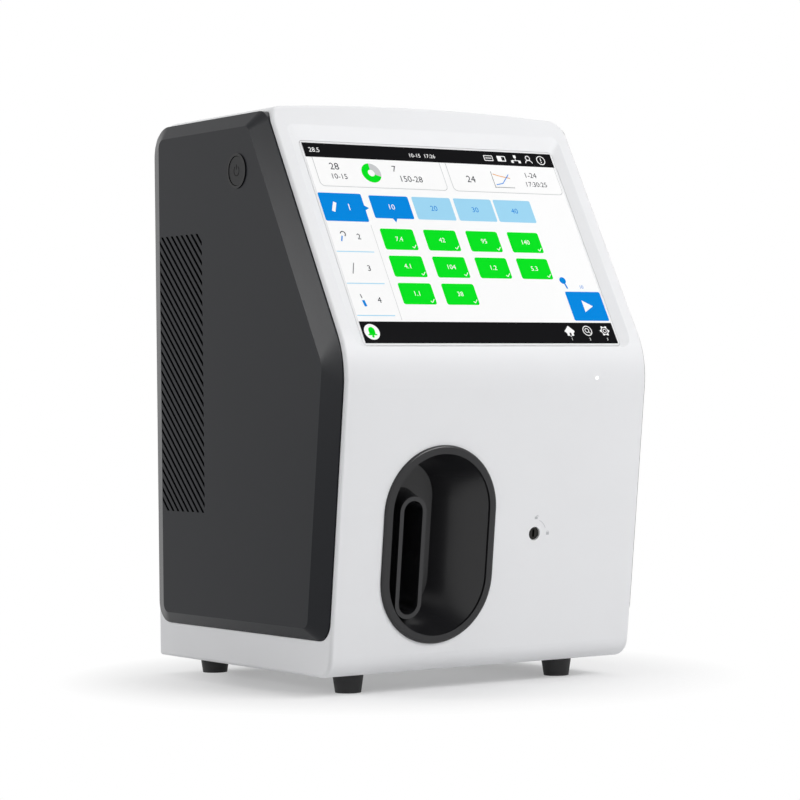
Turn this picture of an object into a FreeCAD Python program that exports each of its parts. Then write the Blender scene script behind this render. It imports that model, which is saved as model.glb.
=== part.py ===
import FreeCAD, Part
import math
import os
import re
import Sketcher
from FreeCAD import Placement, Rotation, Vector

# Blood gas analyzer, bench type.
# Millimetres, X to the right seen from the front, front towards -Y, +Z up.
# Origin on the bench, under the middle of the analyzer.

# Driving sizes, each written once: lengths in millimetres, angles in degrees
SIZES = {
    # White body
    "body_width": 238, "body_height": 381, "rear_plane": 119, "chin_plane": 96, "foot_height": 13,
    "knuckle_share": 0.56037, "lower_lean": 7.1, "upper_lean": 29.08, "wall": 3.2, "roof_crown": 4,
    "roof_corner_radius": 12, "chin_radius": 14, "knuckle_radius": 60, "rear_radius": 20,
    "front_edge_radius": 2.5,
    "bottom_hole_gap": 18.7, "bottom_hole_setback": 51, "bottom_hole_rear_gap": 39, "hole_radius": 8,
    "rear_frame_width": 20, "rear_hole_low": 30, "rear_hole_down": 33,
    # Side covers, inset from the outline of the body
    "cover_gap": 0.4, "cover_proud": 6, "cover_edge": 1, "cover_skin": 2.5, "ledge": 3.2,
    "ledge_width": 6, "ledge_merge": 1.5, "cover_rear_inset": 0.9, "cover_top_inset": 6.7,
    "cover_front_inset": 2.5, "cover_low_inset": 23.5,
    "cover_low_rear_radius": 14, "cover_low_front_radius": 13, "cover_top_front_radius": 13,
    "cover_knuckle_radius": 58, "crease_rear_inset": 15.6, "crease_top_inset": 15.7,
    "crease_front_inset": 19.5, "crease_low_inset": 31, "crease_radius": 6, "crease_knuckle_radius": 14,
    "cover_rib": 2, "cover_rib_depth": 4,
    "vent_front": 46, "vent_rear_gap": 16, "vent_low": 113, "vent_down": 82, "vent_slit": 2,
    "vent_pitch": 6.7,
    # Feet
    "foot_inset": 35.3, "foot_setback": 33, "foot_rear_gap": 13.3, "foot_top_radius": 10.3,
    "foot_low_radius": 8.4, "foot_recess_radius": 4.4, "foot_recess_depth": 5,
    "foot_screw_radius": 2, "foot_screw_head_radius": 3.8, "foot_screw_head": 2.6,
    "screw_play": 0.15, "screw_grip": 4,
    # Base plate and bulkhead
    "base_thick": 2, "frame_gap": 4, "base_setback": 18, "base_rear_gap": 9,
    "sheet": 1.5, "bulkhead_front": 24, "bulkhead_thick": 2, "bulkhead_down": 51,
    "bulkhead_flange": 14, "bulkhead_radius": 8, "small_screw_radius": 1.5, "small_head_radius": 2.8,
    "small_head": 1.8, "flange_screw_inset": 21.8,
    "cable_hole_radius": 12, "cable_hole_inset": 23.8, "cable_hole_down": 40,
    # Screen, measured up the slanted face from the knuckle corner
    "screen_side_gap": 17.2, "screen_down": 28.65, "screen_low": 10.2, "screen_depth": 2.7,
    "glass_thick": 3.2, "glass_gap": 0.3, "glass_radius": 3, "pad_side_margin": 2.5, "pad_low": 3,
    "pad_top_margin": 19, "recess_side_margin": 7.7, "recess_low_margin": 2.8,
    "recess_top_margin": 11, "recess_radius": 6, "module_side_margin": 2.7, "module_margin": 3.6,
    "module_thick": 8, "bracket_side_margin": 7, "bracket_margin": 3, "display_screw_inset": 3.1,
    "display_screw_margin": 17.2, "display_boss_radius": 2.8,
    "bracket_window_width": 34, "bracket_window_height": 24,
    # Sampling port on the lower face
    "port_inset": 77.2, "port_up": 82.2, "port_radius": 43, "port_half_height": 64, "bead_width": 5.5,
    "bead_proud": 2, "port_hole_radius": 40, "port_gap": 0.3, "dish_depth": 30, "dish_skin": 2.5,
    "dish_back_shift": 10.2, "dish_back_radius": 24, "dish_back_half_height": 50,
    "slot_shift": 13.9, "slot_up": 72.5, "slot_width": 14.4, "slot_height": 73.4, "slot_lip": 2.85,
    "column_depth": 10, "column_spread": 6.5, "lip_thick": 1.6,
    # Lock
    "lock_x": 33.9, "lock_up": 86.4, "lock_hole_radius": 4.4, "lock_barrel_radius": 7,
    "lock_barrel_length": 16, "lock_core_radius": 4, "lock_core_front": 1.2, "cam_front": 20,
    "cam_thick": 2.5, "cam_width": 8, "cam_reach": 16, "keyway_width": 1.5, "keyway_height": 5,
    "keyway_depth": 5, "lock_nut_thick": 3, "lock_nut_radius": 9,
    # Status light
    "light_inset": 41.4, "light_down": 13.95, "light_radius": 1.1, "light_sink": 0.4, "light_gap": 0.45,
    "light_flange_radius": 3, "light_flange": 2.2, "light_board_width": 14, "light_board_height": 8,
    "light_board": 1.6,
    # Power button
    "button_y": -0.8, "button_down": 44, "ring_radius": 11.5, "ring_inner_radius": 9.8,
    "ring_barrel_radius": 11.1, "ring_play": 0.3, "ring_proud": 0.8, "ring_length": 14,
    "button_radius": 9.45, "button_sink": 0.4, "button_thick": 5, "button_travel": 1.5,
    "plunger_radius": 3, "switch_length": 9, "switch_gap": 0.3,
    "switch_pin_spread": 5, "switch_pin": 0.8, "pin_length": 5,
    "ring_lip": 2.4, "ring_lip_radius": 13,
    # Sampler
    "arm_setback": 46, "arm_z": 56, "arm_thick": 8, "arm_breadth": 8, "arm_reach": 62,
    "arm_hub_radius": 9, "needle_radius": 1, "needle_length": 20, "shaft_radius": 3,
    "shaft_play": 0.25, "arm_bracket_gap": 8.4, "arm_bracket_thick": 2, "arm_bracket_width": 30,
    "shaft_sink": 10, "arm_bracket_top": 84, "arm_bracket_foot": 14, "gearbox": 28, "gearbox_length": 24,
    "motor_radius": 12, "motor_length": 15,
    # Measuring block with its sensor card, in front of the bulkhead
    "block_left_reach": 39.3, "block_right_reach": 35.7, "block_setback": 30, "block_low": 122,
    "block_top": 172,
    "card_thick": 2.5, "card_margin": 8, "probe_hole_radius": 2.2, "probe_hole_depth": 12,
    # Valve block
    "valve_pump_gap": 10, "valve_bay_gap": 12, "valve_front": 0, "valve_low": 60, "valve_top": 92,
    "valve_radius": 7, "valve_length": 16, "valve_count": 2,
    # Roller pump
    "pump_inset": 33.8, "pump_z": 92, "pump_radius": 22, "pump_bore": 18, "pump_front": 2,
    "pump_back": 3, "pump_rotor_radius": 10, "rotor_thick": 14, "roller_radius": 3.4,
    "roller_orbit": 13, "roller_count": 4, "pump_gap": 0.6,
    "pump_motor_radius": 18, "pump_motor_length": 34, "pump_shaft_radius": 2.5,
    "rotor_plate": 1.6, "roller_side_gap": 0.2, "roller_pin_radius": 1.2, "rotor_plate_radius": 16.6,
    # Reagent drawer on the right
    "drawer_setback": 24, "drawer_back": 20, "drawer_low": 50, "drawer_top": 166,
    "drawer_skin": 3, "drawer_gap": 0.8, "drawer_radius": 5,
    "tray_left": 12, "tray_side_gap": 6, "tray_low": 54, "tray_top": 100, "tray_skin": 2,
    "pack_gap": 0.5, "pack_top": 136, "pack_shoulder": 10, "pack_right_gap": 11,
    "pack_radius": 4, "port_nipple_radius": 3, "port_nipple_length": 4, "nipple_count": 5,
    "pull_width": 46, "pull_height": 20, "pull_depth": 11, "pull_skin": 2, "pull_low": 140,
    "bay_gap": 0.5, "bay_side_gap": 3.4, "bay_top": 104, "runner_height": 12, "runner_low": 60,
    "runner_gap": 0.4, "runner_margin": 6, "bay_left": 10, "bay_right_gap": 8,
    "lug_shift": 9.9, "lug_width": 5.4, "lug_low": 84, "lug_height": 8, "lug_reach": 22.5,
    "lug_slot_gap": 2, "lug_slot_margin": 4,
    # Electronics behind the bulkhead
    "board_width": 122, "board_right_gap": 11.8, "board_low": 96, "board_down": 111,
    "board_thick": 1.6,
    "standoff": 8, "standoff_radius": 3, "standoff_inset": 6, "sink_width": 44, "sink_height": 44,
    "sink_depth": 16, "fin_count": 8, "fin_thick": 1.4, "sink_base": 4, "sink_shift": 56, "sink_down": 60,
    "connector_count": 4, "connector_pitch": 26, "connector_width": 20, "connector_depth": 9,
    "connector_height": 6, "board_gap": 14,
    "supply_width": 100, "supply_left_gap": 3.8, "supply_front": 40, "supply_rear_gap": 18,
    "supply_top": 60, "supply_radius": 2, "terminal_width": 10, "terminal_reach": 4,
    "terminal_length": 40,
    "speaker_inset": 33.8, "speaker_z": 150, "speaker_radius": 20, "speaker_length": 14,
    "speaker_cone_radius": 15, "speaker_cone_depth": 4,
    # Rear panel with its fan, mains inlet, mains switch and sockets
    "panel_thick": 1.5, "panel_overlap": 9, "panel_screw_inset": 4.5,
    "fan_inset": 49, "fan_down": 131, "fan_size": 60, "fan_depth": 20, "fan_bore": 28, "fan_gap": 0.8,
    "fan_hub_radius": 12, "fan_blade_thick": 1.2, "fan_blade_count": 7, "fan_blade_pitch": 35,
    "fan_blade_depth": 11, "fan_screw_inset": 5, "fan_strut": 3, "fan_plate": 2.5,
    "fan_pin_radius": 2, "fan_play": 0.2,
    "grille_slot": 3, "grille_pitch": 6,
    "inlet_inset": 29, "inlet_z": 64, "inlet_width": 50, "inlet_height": 27, "inlet_flange": 2.2,
    "inlet_depth": 24, "inlet_hole_width": 24.5, "inlet_hole_height": 17, "inlet_hole_depth": 16,
    "inlet_pin_radius": 1.6, "inlet_pin_length": 12, "inlet_pin_pitch": 7, "inlet_edge": 2,
    "panel_play": 0.3,
    "mains_z": 96, "mains_width": 26, "mains_height": 22, "mains_hole_width": 18,
    "mains_hole_height": 14, "mains_depth": 18, "mains_gap": 0.5, "mains_pocket": 9,
    "rocker_tilt": 9, "rocker_back": 4, "rocker_end": 1.8, "rocker_middle": 0.6,
    "rocker_pin_radius": 1.2, "rocker_pin_sink": 1.5, "rocker_shift": 1.5,
    "socket_left_shift": 56, "socket_low": 172, "port_board_thick": 1.6, "port_board_height": 34,
    "port_board_width": 70, "socket_depth": 15, "usb_width": 14, "usb_height": 7, "usb_skin": 0.9,
    "usb_count": 2, "net_width": 16, "net_height": 13.5, "net_hole_width": 12, "net_hole_height": 9,
    "socket_hole_depth": 10, "socket_gap": 6, "socket_up": 8, "socket_pass": 0.4,
    "plate_overlap": 3, "plate_thick": 1,
    # How far a cutting tool runs past what it cuts
    "overrun": 1,
}

doc = FreeCAD.newDocument("BloodGasAnalyzer")
sheet = doc.addObject("Spreadsheet::Sheet", "Sizes")
for row, (alias, value) in enumerate(SIZES.items(), start=1):
    sheet.set(f"A{row}", alias)
    sheet.set(f"B{row}", str(value))
    sheet.setAlias(f"B{row}", alias)

# Values that follow from the driving sizes
DERIVED = {
    "half_width": "body_width / 2",
    "knuckle_height": "body_height * knuckle_share",
    "upper_length": "(body_height - knuckle_height) / cos(upper_lean)",
    "lower_length": "(knuckle_height - foot_height) / cos(lower_lean)",
    "knuckle_y": "-chin_plane - (knuckle_height - foot_height) * tan(lower_lean)",
    "brow_y": "knuckle_y + (body_height - knuckle_height) * tan(upper_lean)",
    "cover_face": "half_width + cover_proud",
    "cover_seat": "half_width - ledge",
    "foot_spread": "half_width - foot_inset",
    "foot_front": "chin_plane - foot_setback",
    "foot_rear": "rear_plane - foot_rear_gap",
    "bottom_hole_width": "2 * (foot_spread - bottom_hole_gap)",
    "bottom_hole_front": "chin_plane - bottom_hole_setback",
    "bottom_hole_rear": "rear_plane - bottom_hole_rear_gap",
    "rear_hole_width": "body_width - 2 * rear_frame_width",
    "rear_hole_top": "body_height - rear_hole_down",
    "vent_rear": "rear_plane - vent_rear_gap",
    "vent_top": "body_height - vent_down",
    "frame_half_width": "half_width - wall - frame_gap",
    "base_front": "chin_plane - base_setback",
    "base_rear": "rear_plane - base_rear_gap",
    "bulkhead_top": "body_height - bulkhead_down",
    "flange_screw_x": "frame_half_width - flange_screw_inset",
    "cable_hole_x": "frame_half_width - cable_hole_inset",
    "cable_hole_z": "bulkhead_top - cable_hole_down",
    "base_low": "foot_height + wall",
    "base_top": "base_low + base_thick",
    "bulkhead_rear": "bulkhead_front + bulkhead_thick",
    "panel_rear": "rear_plane - wall",
    "panel_front": "panel_rear - panel_thick",
    "screen_width": "body_width - 2 * screen_side_gap",
    "screen_height": "upper_length - screen_low - screen_down",
    "screen_top": "screen_low + screen_height",
    "recess_width": "screen_width + 2 * recess_side_margin",
    "recess_low": "screen_low - recess_low_margin",
    "recess_top": "screen_top + recess_top_margin",
    "pad_half_width": "recess_width / 2 + pad_side_margin",
    "pad_top": "screen_top + pad_top_margin",
    "module_width": "screen_width + 2 * module_side_margin",
    "module_low": "screen_low - module_margin",
    "module_height": "screen_height + 2 * module_margin",
    "bracket_half_width": "module_width / 2 + bracket_side_margin",
    "display_screw_x": "bracket_half_width - display_screw_inset",
    "display_screw_low": "module_low + display_screw_margin",
    "display_screw_top": "module_low + module_height - display_screw_margin",
    "port_x": "port_inset - half_width",
    "dish_back_x": "port_x - dish_back_shift",
    "slot_x": "port_x - slot_shift",
    "light_x": "half_width - light_inset",
    "light_up": "lower_length - light_down",
    "button_z": "body_height - button_down",
    "arm_y": "arm_setback - chin_plane",
    "block_left": "slot_x - block_left_reach",
    "block_right": "slot_x + block_right_reach",
    "block_front": "block_setback - chin_plane",
    "pump_x": "pump_inset - frame_half_width",
    "valve_left": "pump_x + pump_radius + valve_pump_gap",
    "valve_right": "bay_left - valve_bay_gap",
    "drawer_front": "drawer_setback - chin_plane",
    "bay_right": "half_width - bay_right_gap",
    "lug_left": "lock_x - lug_shift",
    "lug_slot_left": "lug_left - lug_slot_margin",
    "board_right": "frame_half_width - board_right_gap",
    "board_left": "board_right - board_width",
    "board_top": "body_height - board_down",
    "sink_x": "board_left + sink_shift",
    "sink_z": "board_top - sink_down",
    "supply_left": "supply_left_gap - frame_half_width",
    "supply_right": "supply_left + supply_width",
    "supply_rear": "rear_plane - supply_rear_gap",
    "speaker_x": "speaker_inset - frame_half_width",
    "fan_x": "fan_inset - rear_hole_width / 2",
    "fan_z": "body_height - fan_down",
    "inlet_x": "rear_hole_width / 2 - inlet_inset",
    "mains_x": "inlet_x",
    "socket_left": "inlet_x - socket_left_shift",
    "module_depth": "screen_depth + glass_thick",
    "bracket_depth": "module_depth + module_thick",
    "board_front": "bulkhead_rear + standoff",
    "board_rear": "board_front + board_thick",
    "tray_front": "drawer_front + tray_side_gap",
    "tray_back": "drawer_back - tray_side_gap",
    "tray_right": "cover_face - drawer_skin",
    "pack_right": "tray_right - pack_right_gap",
    "bay_front": "tray_front - bay_side_gap",
    "bay_back": "tray_back + bay_side_gap",
    "bay_floor": "tray_low - bay_gap",
    "lug_top": "lug_low + lug_height",
    "arm_left": "slot_x - arm_thick / 2",
    "arm_right": "slot_x + arm_thick / 2",
    "bracket_face": "arm_left - arm_bracket_gap",
    "motor_face": "bracket_face - arm_bracket_thick",
    "pump_hub_rear": "bulkhead_front - pump_back - pump_gap",
    "ring_front": "-cover_face - ring_proud",
    "ring_end": "ring_front + ring_length",
    "cover_inside": "-cover_face + cover_skin",
    "button_front": "ring_front + button_sink",
    "switch_front": "ring_end",
    "light_back": "wall + light_sink + light_gap + light_flange",
    "inlet_rear": "panel_rear + inlet_flange",
    "fan_front": "panel_front - fan_depth",
    "rocker_axis": "panel_rear - rocker_shift",
    "socket_rear": "panel_rear + socket_pass",
    "socket_front": "socket_rear - socket_depth",
}
derived = doc.addObject("Spreadsheet::Sheet", "Derived")
CELLS = {alias: f"Sizes.{alias}" for alias in SIZES}
CELLS.update({function: function for function in ("sin", "cos", "tan", "sqrt")})


def bound(expression):
    """The expression with every size's name pointing at its cell."""
    return re.sub(r"[a-z_]+", lambda found: CELLS[found.group()], expression)


for row, (alias, formula) in enumerate(DERIVED.items(), start=1):
    derived.set(f"A{row}", alias)
    derived.set(f"B{row}", "=" + bound(formula))
    derived.setAlias(f"B{row}", alias)
    CELLS[alias] = f"Derived.{alias}"
doc.recompute()


def val(expression):
    """The expression's value now, for shapes that are worked out in code."""
    return sheet.evalExpression(bound(expression))


NODES = []

# The slanted faces carry frames of their own: X across, Y into the body, Z up the face
LOWER_FACE = ("0", "-chin_plane", "foot_height", "lower_lean")
UPPER_FACE = ("0", "knuckle_y", "knuckle_height", "-upper_lean")


def place(item, frame):
    """Set an object in a frame given by its origin and its turn about X."""
    item.Placement = Placement(Vector(), Rotation(Vector(1, 0, 0), 1))
    for axis, expression in zip("xyz", frame):
        item.setExpression(f"Placement.Base.{axis}", bound(expression))
    item.setExpression("Placement.Rotation.Angle", bound(frame[3]))
    return item


def frame_placement(frame):
    """The same frame as a plain placement, for shapes made in code."""
    x, y, z, turn = (val(expression) for expression in frame)
    return Placement(Vector(x, y, z), Rotation(Vector(1, 0, 0), turn))


def node(item, name, frame=None):
    """Keep an object as one piece of the analyzer, under the name that a person would use."""
    item.Label = name
    if frame:
        place(item, frame)
    NODES.append(item)
    return item


def coded(shape, frame=None):
    """An object for a shape that is worked out in code."""
    item = doc.addObject("Part::Feature", "Worked")
    item.Shape = shape
    if frame:
        item.Placement = frame_placement(frame)
    return item


def box(x, y, z):
    """A block given by its low and high ends along each axis."""
    item = doc.addObject("Part::Box", "Block")
    for side, axis, (low, high) in zip(("Length", "Width", "Height"), "xyz", (x, y, z)):
        item.setExpression(side, bound(f"({high}) - ({low})"))
        item.setExpression(f"Placement.Base.{axis}", bound(low))
    return item


# The turn that lays a cylinder's length along each axis
ALONG = {
    "x": Rotation(Vector(0, 1, 0), 90),
    "y": Rotation(Vector(1, 0, 0), -90),
    "z": Rotation(),
}


def rod(along, radius, start, length):
    """A cylinder from its start point along one axis."""
    item = doc.addObject("Part::Cylinder", "Rod")
    item.setExpression("Radius", bound(radius))
    item.setExpression("Height", bound(length))
    item.Placement = Placement(Vector(), ALONG[along])
    for axis, expression in zip("xyz", start):
        item.setExpression(f"Placement.Base.{axis}", bound(expression))
    return item


def cone(along, first_radius, last_radius, start, height):
    """A cone from the middle of its first end along one axis."""
    item = doc.addObject("Part::Cone", "Taper")
    item.setExpression("Radius1", bound(first_radius))
    item.setExpression("Radius2", bound(last_radius))
    item.setExpression("Height", bound(height))
    item.Placement = Placement(Vector(), ALONG[along])
    for axis, expression in zip("xyz", start):
        item.setExpression(f"Placement.Base.{axis}", bound(expression))
    return item


def fuse(*items):
    """Several overlapping objects as one."""
    item = doc.addObject("Part::MultiFuse", "Joined")
    item.Shapes = list(items)
    item.Refine = True
    return item


def group(*items):
    """Several separate solids kept together."""
    item = doc.addObject("Part::Compound", "Group")
    item.Links = list(items)
    return item


def cut(base, *tools):
    """A base with one or more tools taken away."""
    item = doc.addObject("Part::Cut", "Carved")
    item.Base = base
    item.Tool = tools[0] if len(tools) == 1 else fuse(*tools)
    item.Refine = True
    return item


# Points nearer to each other than this are the same point
NEAR = 1e-6

# For each sketch plane: the sign of its offset along the axis that a pad follows
PLANES = {"XY_Plane": 1, "XZ_Plane": -1, "YZ_Plane": 1}


def prism(plane, corners, low, high, rounds=None):
    """A padded sketch with bound corners, between two heights over an origin plane.

    rounds gives an expression for the radius at some corners, by their number."""
    body = doc.addObject("PartDesign::Body", "Body")
    sketch = body.newObject("Sketcher::SketchObject", "Outline")
    origin_plane = [found for found in body.Origin.OriginFeatures if found.Role == plane][0]
    sketch.AttachmentSupport = (origin_plane, [""])
    sketch.MapMode = "FlatFace"
    sign = PLANES[plane]
    near = low if sign > 0 else high
    sketch.setExpression("AttachmentOffset.Base.z", bound(f"{sign} * ({near})"))
    points = [Vector(val(across), val(up), 0) for across, up in corners]
    for start, end in zip(points, points[1:] + points[:1]):
        sketch.addGeometry(Part.LineSegment(start, end), False)
    for index, (across, up) in enumerate(corners):
        following = (index + 1) % len(corners)
        sketch.addConstraint(Sketcher.Constraint("Coincident", index, 2, following, 1))
        for kind, expression, value in zip(("DistanceX", "DistanceY"), (across, up), points[index]):
            number = sketch.addConstraint(Sketcher.Constraint(kind, -1, 1, index, 1, value))
            sketch.setExpression(f"Constraints[{number}]", bound(expression))
    pad = body.newObject("PartDesign::Pad", "Pad")
    pad.Profile = sketch
    pad.setExpression("Length", bound(f"({high}) - ({low})"))
    sketch.Visibility = False
    doc.recompute()
    if rounds:
        for expression in sorted(set(rounds.values())):
            add_rounds(body, [points[i] for i, value in rounds.items() if value == expression],
                       plane, expression)
    return body


def add_rounds(body, points, plane, radius):
    """Round the pad's straight edges that stand on the given sketch points."""
    flat = {"XY_Plane": ("x", "y"), "XZ_Plane": ("x", "z"), "YZ_Plane": ("y", "z")}[plane]
    tip = body.Tip
    names = []
    for number, edge in enumerate(tip.Shape.Edges, start=1):
        ends = [vertex.Point for vertex in edge.Vertexes]
        if len(ends) < 2 or any(abs(getattr(ends[0] - ends[1], axis)) > NEAR for axis in flat):
            continue
        spot = Vector(getattr(ends[0], flat[0]), getattr(ends[0], flat[1]), 0)
        if any((spot - point).Length < NEAR for point in points):
            names.append(f"Edge{number}")
    fillet = body.newObject("PartDesign::Fillet", "Rounds")
    fillet.Base = (tip, names)
    fillet.setExpression("Radius", bound(radius))
    doc.recompute()


def rectangle(x, y):
    """The four corners of a rectangle given by its ends across and up."""
    return [(x[0], y[0]), (x[1], y[0]), (x[1], y[1]), (x[0], y[1])]


def all_round(radius):
    """The same radius at all four corners of a rectangle."""
    return {corner: radius for corner in range(4)}


def outline(corners, to_space):
    """A closed wire through corners (across, up, radius), its round stretches true arcs."""
    points = [Vector(across, up, 0) for across, up, radius in corners]
    joints = []
    for index, (across, up, radius) in enumerate(corners):
        point = points[index]
        back = (points[index - 1] - point).normalize()
        ahead = (points[(index + 1) % len(points)] - point).normalize()
        if radius <= 0:
            joints.append((point, None, point))
            continue
        half_angle = back.getAngle(ahead) / 2
        run = radius / math.tan(half_angle)
        middle = (back + ahead).normalize()
        centre = point + middle * (radius / math.sin(half_angle))
        joints.append((point + back * run, centre - middle * radius, point + ahead * run))
    edges = []
    for index, (first, mid, last) in enumerate(joints):
        if mid is not None:
            edges.append(Part.Arc(to_space(first), to_space(mid), to_space(last)).toShape())
        following = joints[(index + 1) % len(joints)][0]
        if (following - last).Length > NEAR:
            edges.append(Part.LineSegment(to_space(last), to_space(following)).toShape())
    return Part.Wire(edges)


def inset(corners, distances, rounds):
    """Corners whose sides are moved inwards, each by its own distance.

    The corners run counterclockwise, and side n goes from corner n to the next one."""
    sides = []
    for index, distance in enumerate(distances):
        start = Vector(corners[index][0], corners[index][1], 0)
        ahead = corners[(index + 1) % len(corners)]
        along = (Vector(ahead[0], ahead[1], 0) - start).normalize()
        sides.append((start + Vector(-along.y, along.x, 0) * distance, along))
    moved = []
    for index, radius in enumerate(rounds):
        base, along = sides[index - 1]
        other, across = sides[index]
        gap = other - base
        share = (gap.x * across.y - gap.y * across.x) / (along.x * across.y - along.y * across.x)
        point = base + along * share
        moved.append((point.x, point.y, radius))
    return moved


def across_at(x):
    """Puts a side view outline (depth, height) in the plane at x."""
    return lambda point: Vector(x, point.x, point.y)


def upright_at(y):
    """Puts a front view outline (across, height) in the plane at y."""
    return lambda point: Vector(point.x, y, point.y)


def slab(wire, direction):
    """A closed wire filled and drawn out into a solid."""
    return Part.Face(wire).extrude(direction)


def obround(centre_x, centre_up, radius, half_height):
    """The corners of an upright round-ended outline."""
    low = centre_up - half_height
    top = centre_up + half_height
    left = centre_x - radius
    right = centre_x + radius
    round_end = radius * ROUND_END_SHARE
    return [(left, low, round_end), (right, low, round_end), (right, top, round_end),
            (left, top, round_end)]


# The ends of a round-ended outline stop just short of meeting, so that every side keeps a line
ROUND_END_SHARE = 0.999
# The rim of the port is rounded over nearly all that it stands proud
RIM_ROUND_SHARE = 0.9
# A face looks towards the user when its normal points forward at least this much, and hardly aside
FORWARD_SHARE = 0.3
ASIDE_SHARE = 0.1

OVERRUN = val("overrun")
HALF_WIDTH = val("half_width")

# Side view of the white body, counterclockwise from the bottom rear corner
PROFILE = [
    (val("rear_plane"), val("foot_height"), 0),
    (val("rear_plane"), val("body_height"), val("rear_radius")),
    (val("brow_y"), val("body_height"), 0),
    (val("knuckle_y"), val("knuckle_height"), val("knuckle_radius")),
    (val("-chin_plane"), val("foot_height"), val("chin_radius")),
]


def crown_outline(thickness):
    """Front view of the body, moved inwards by a wall's thickness."""
    reach = val("half_width - roof_corner_radius")
    slope = math.atan(val("roof_crown") / (HALF_WIDTH - reach / 2))
    crown_round = reach / math.sin(slope)
    peak = val("body_height") + crown_round * (1 / math.cos(slope) - 1)
    side_top = peak - HALF_WIDTH * math.tan(slope)
    floor = val("foot_height")
    corner = val("roof_corner_radius")
    corners = [(-HALF_WIDTH, floor, 0), (HALF_WIDTH, floor, 0),
               (HALF_WIDTH, side_top, corner), (0, peak, crown_round), (-HALF_WIDTH, side_top, corner)]
    rounds = [max(radius - thickness, 0) for across, up, radius in corners]
    return inset(corners, [thickness] * 5, rounds), crown_round


def body_solid(thickness):
    """The body's full form, moved inwards by a wall's thickness on every side."""
    front_view, crown_round = crown_outline(thickness)
    near = val("-body_width")
    depth = Vector(0, val("body_width + rear_plane") - thickness, 0)
    crowned = slab(outline(front_view, upright_at(near)), depth)
    rounds = [max(radius - thickness, 0) for along, up, radius in PROFILE]
    profile = inset(PROFILE, [thickness] * 5, rounds)
    # The upper face runs on past the roof, so that the crown alone ends it
    brow = profile[2]
    knuckle = profile[3]
    rise = brow[1] - knuckle[1]
    lean = (brow[0] - knuckle[0]) / rise
    peak = brow[1] + HALF_WIDTH
    raised = [profile[0], (profile[1][0], peak, 0), (brow[0] + lean * HALF_WIDTH, peak, 0), knuckle,
              profile[4]]
    sideways = slab(outline(raised, across_at(-HALF_WIDTH - OVERRUN)),
                    Vector(2 * (HALF_WIDTH + OVERRUN), 0, 0))
    solid = crowned.common(sideways)
    # The rear top edge is rounded along the crown
    radius = val("rear_radius") - thickness
    top = val("body_height") - thickness
    rear = val("rear_plane") - thickness
    reach = math.degrees(math.asin((HALF_WIDTH + OVERRUN) / crown_round))
    centre = Vector(0, rear - radius, top - radius)
    diagonal = radius * math.sqrt(0.5)
    arc = Part.Arc(Vector(0, centre.y, top), centre + Vector(0, diagonal, diagonal),
                   Vector(0, rear, centre.z)).toShape()
    far = [Vector(0, rear, centre.z), Vector(0, rear + OVERRUN, centre.z),
           Vector(0, rear + OVERRUN, top + OVERRUN), Vector(0, centre.y, top + OVERRUN),
           Vector(0, centre.y, top)]
    corner = Part.Face(Part.Wire([arc] + Part.makePolygon(far).Edges))
    axis_point = Vector(0, 0, val("body_height") - crown_round)
    corner.rotate(axis_point, Vector(0, 1, 0), -reach)
    return solid.cut(corner.revolve(axis_point, Vector(0, 1, 0), 2 * reach)).Solids[0]


def faces_front(face):
    """Whether a face of the body looks towards the user."""
    first, last, low, high = face.ParameterRange
    normal = face.normalAt((first + last) / 2, (low + high) / 2)
    return normal.y < -FORWARD_SHARE and abs(normal.x) < ASIDE_SHARE


def front_edges(solid):
    """The edges between the faces that look towards the user and all the others."""
    owners = {}
    for face in solid.Faces:
        for edge in face.Edges:
            owners.setdefault(edge.hashCode(), []).append((faces_front(face), edge))
    return [sides[0][1] for sides in owners.values() if len(sides) == 2 and sides[0][0] != sides[1][0]]


def cover_insets(extra):
    """How far a side cover's edge lies inside the body's outline, side by side."""
    names = ("cover_rear_inset", "cover_top_inset", "cover_front_inset", "cover_front_inset",
             "cover_low_inset")
    return [val(name) + extra for name in names]


def cover_outline(extra):
    """The side cover's edge, moved inwards by some extra distance."""
    names = ("cover_low_rear_radius", "rear_radius", "cover_top_front_radius", "cover_knuckle_radius",
             "cover_low_front_radius")
    rounds = [val(name) - extra for name in names]
    return inset(PROFILE, cover_insets(extra), rounds)


def crease_outline(extra):
    """The edge of the side cover's flat face, moved inwards by some extra distance."""
    names = ("crease_rear_inset", "crease_top_inset", "crease_front_inset", "crease_front_inset",
             "crease_low_inset")
    rounds = [val("crease_radius")] * 3 + [val("crease_knuckle_radius"), val("crease_radius")]
    return inset(PROFILE, [val(name) + extra for name in names], rounds)


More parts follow.
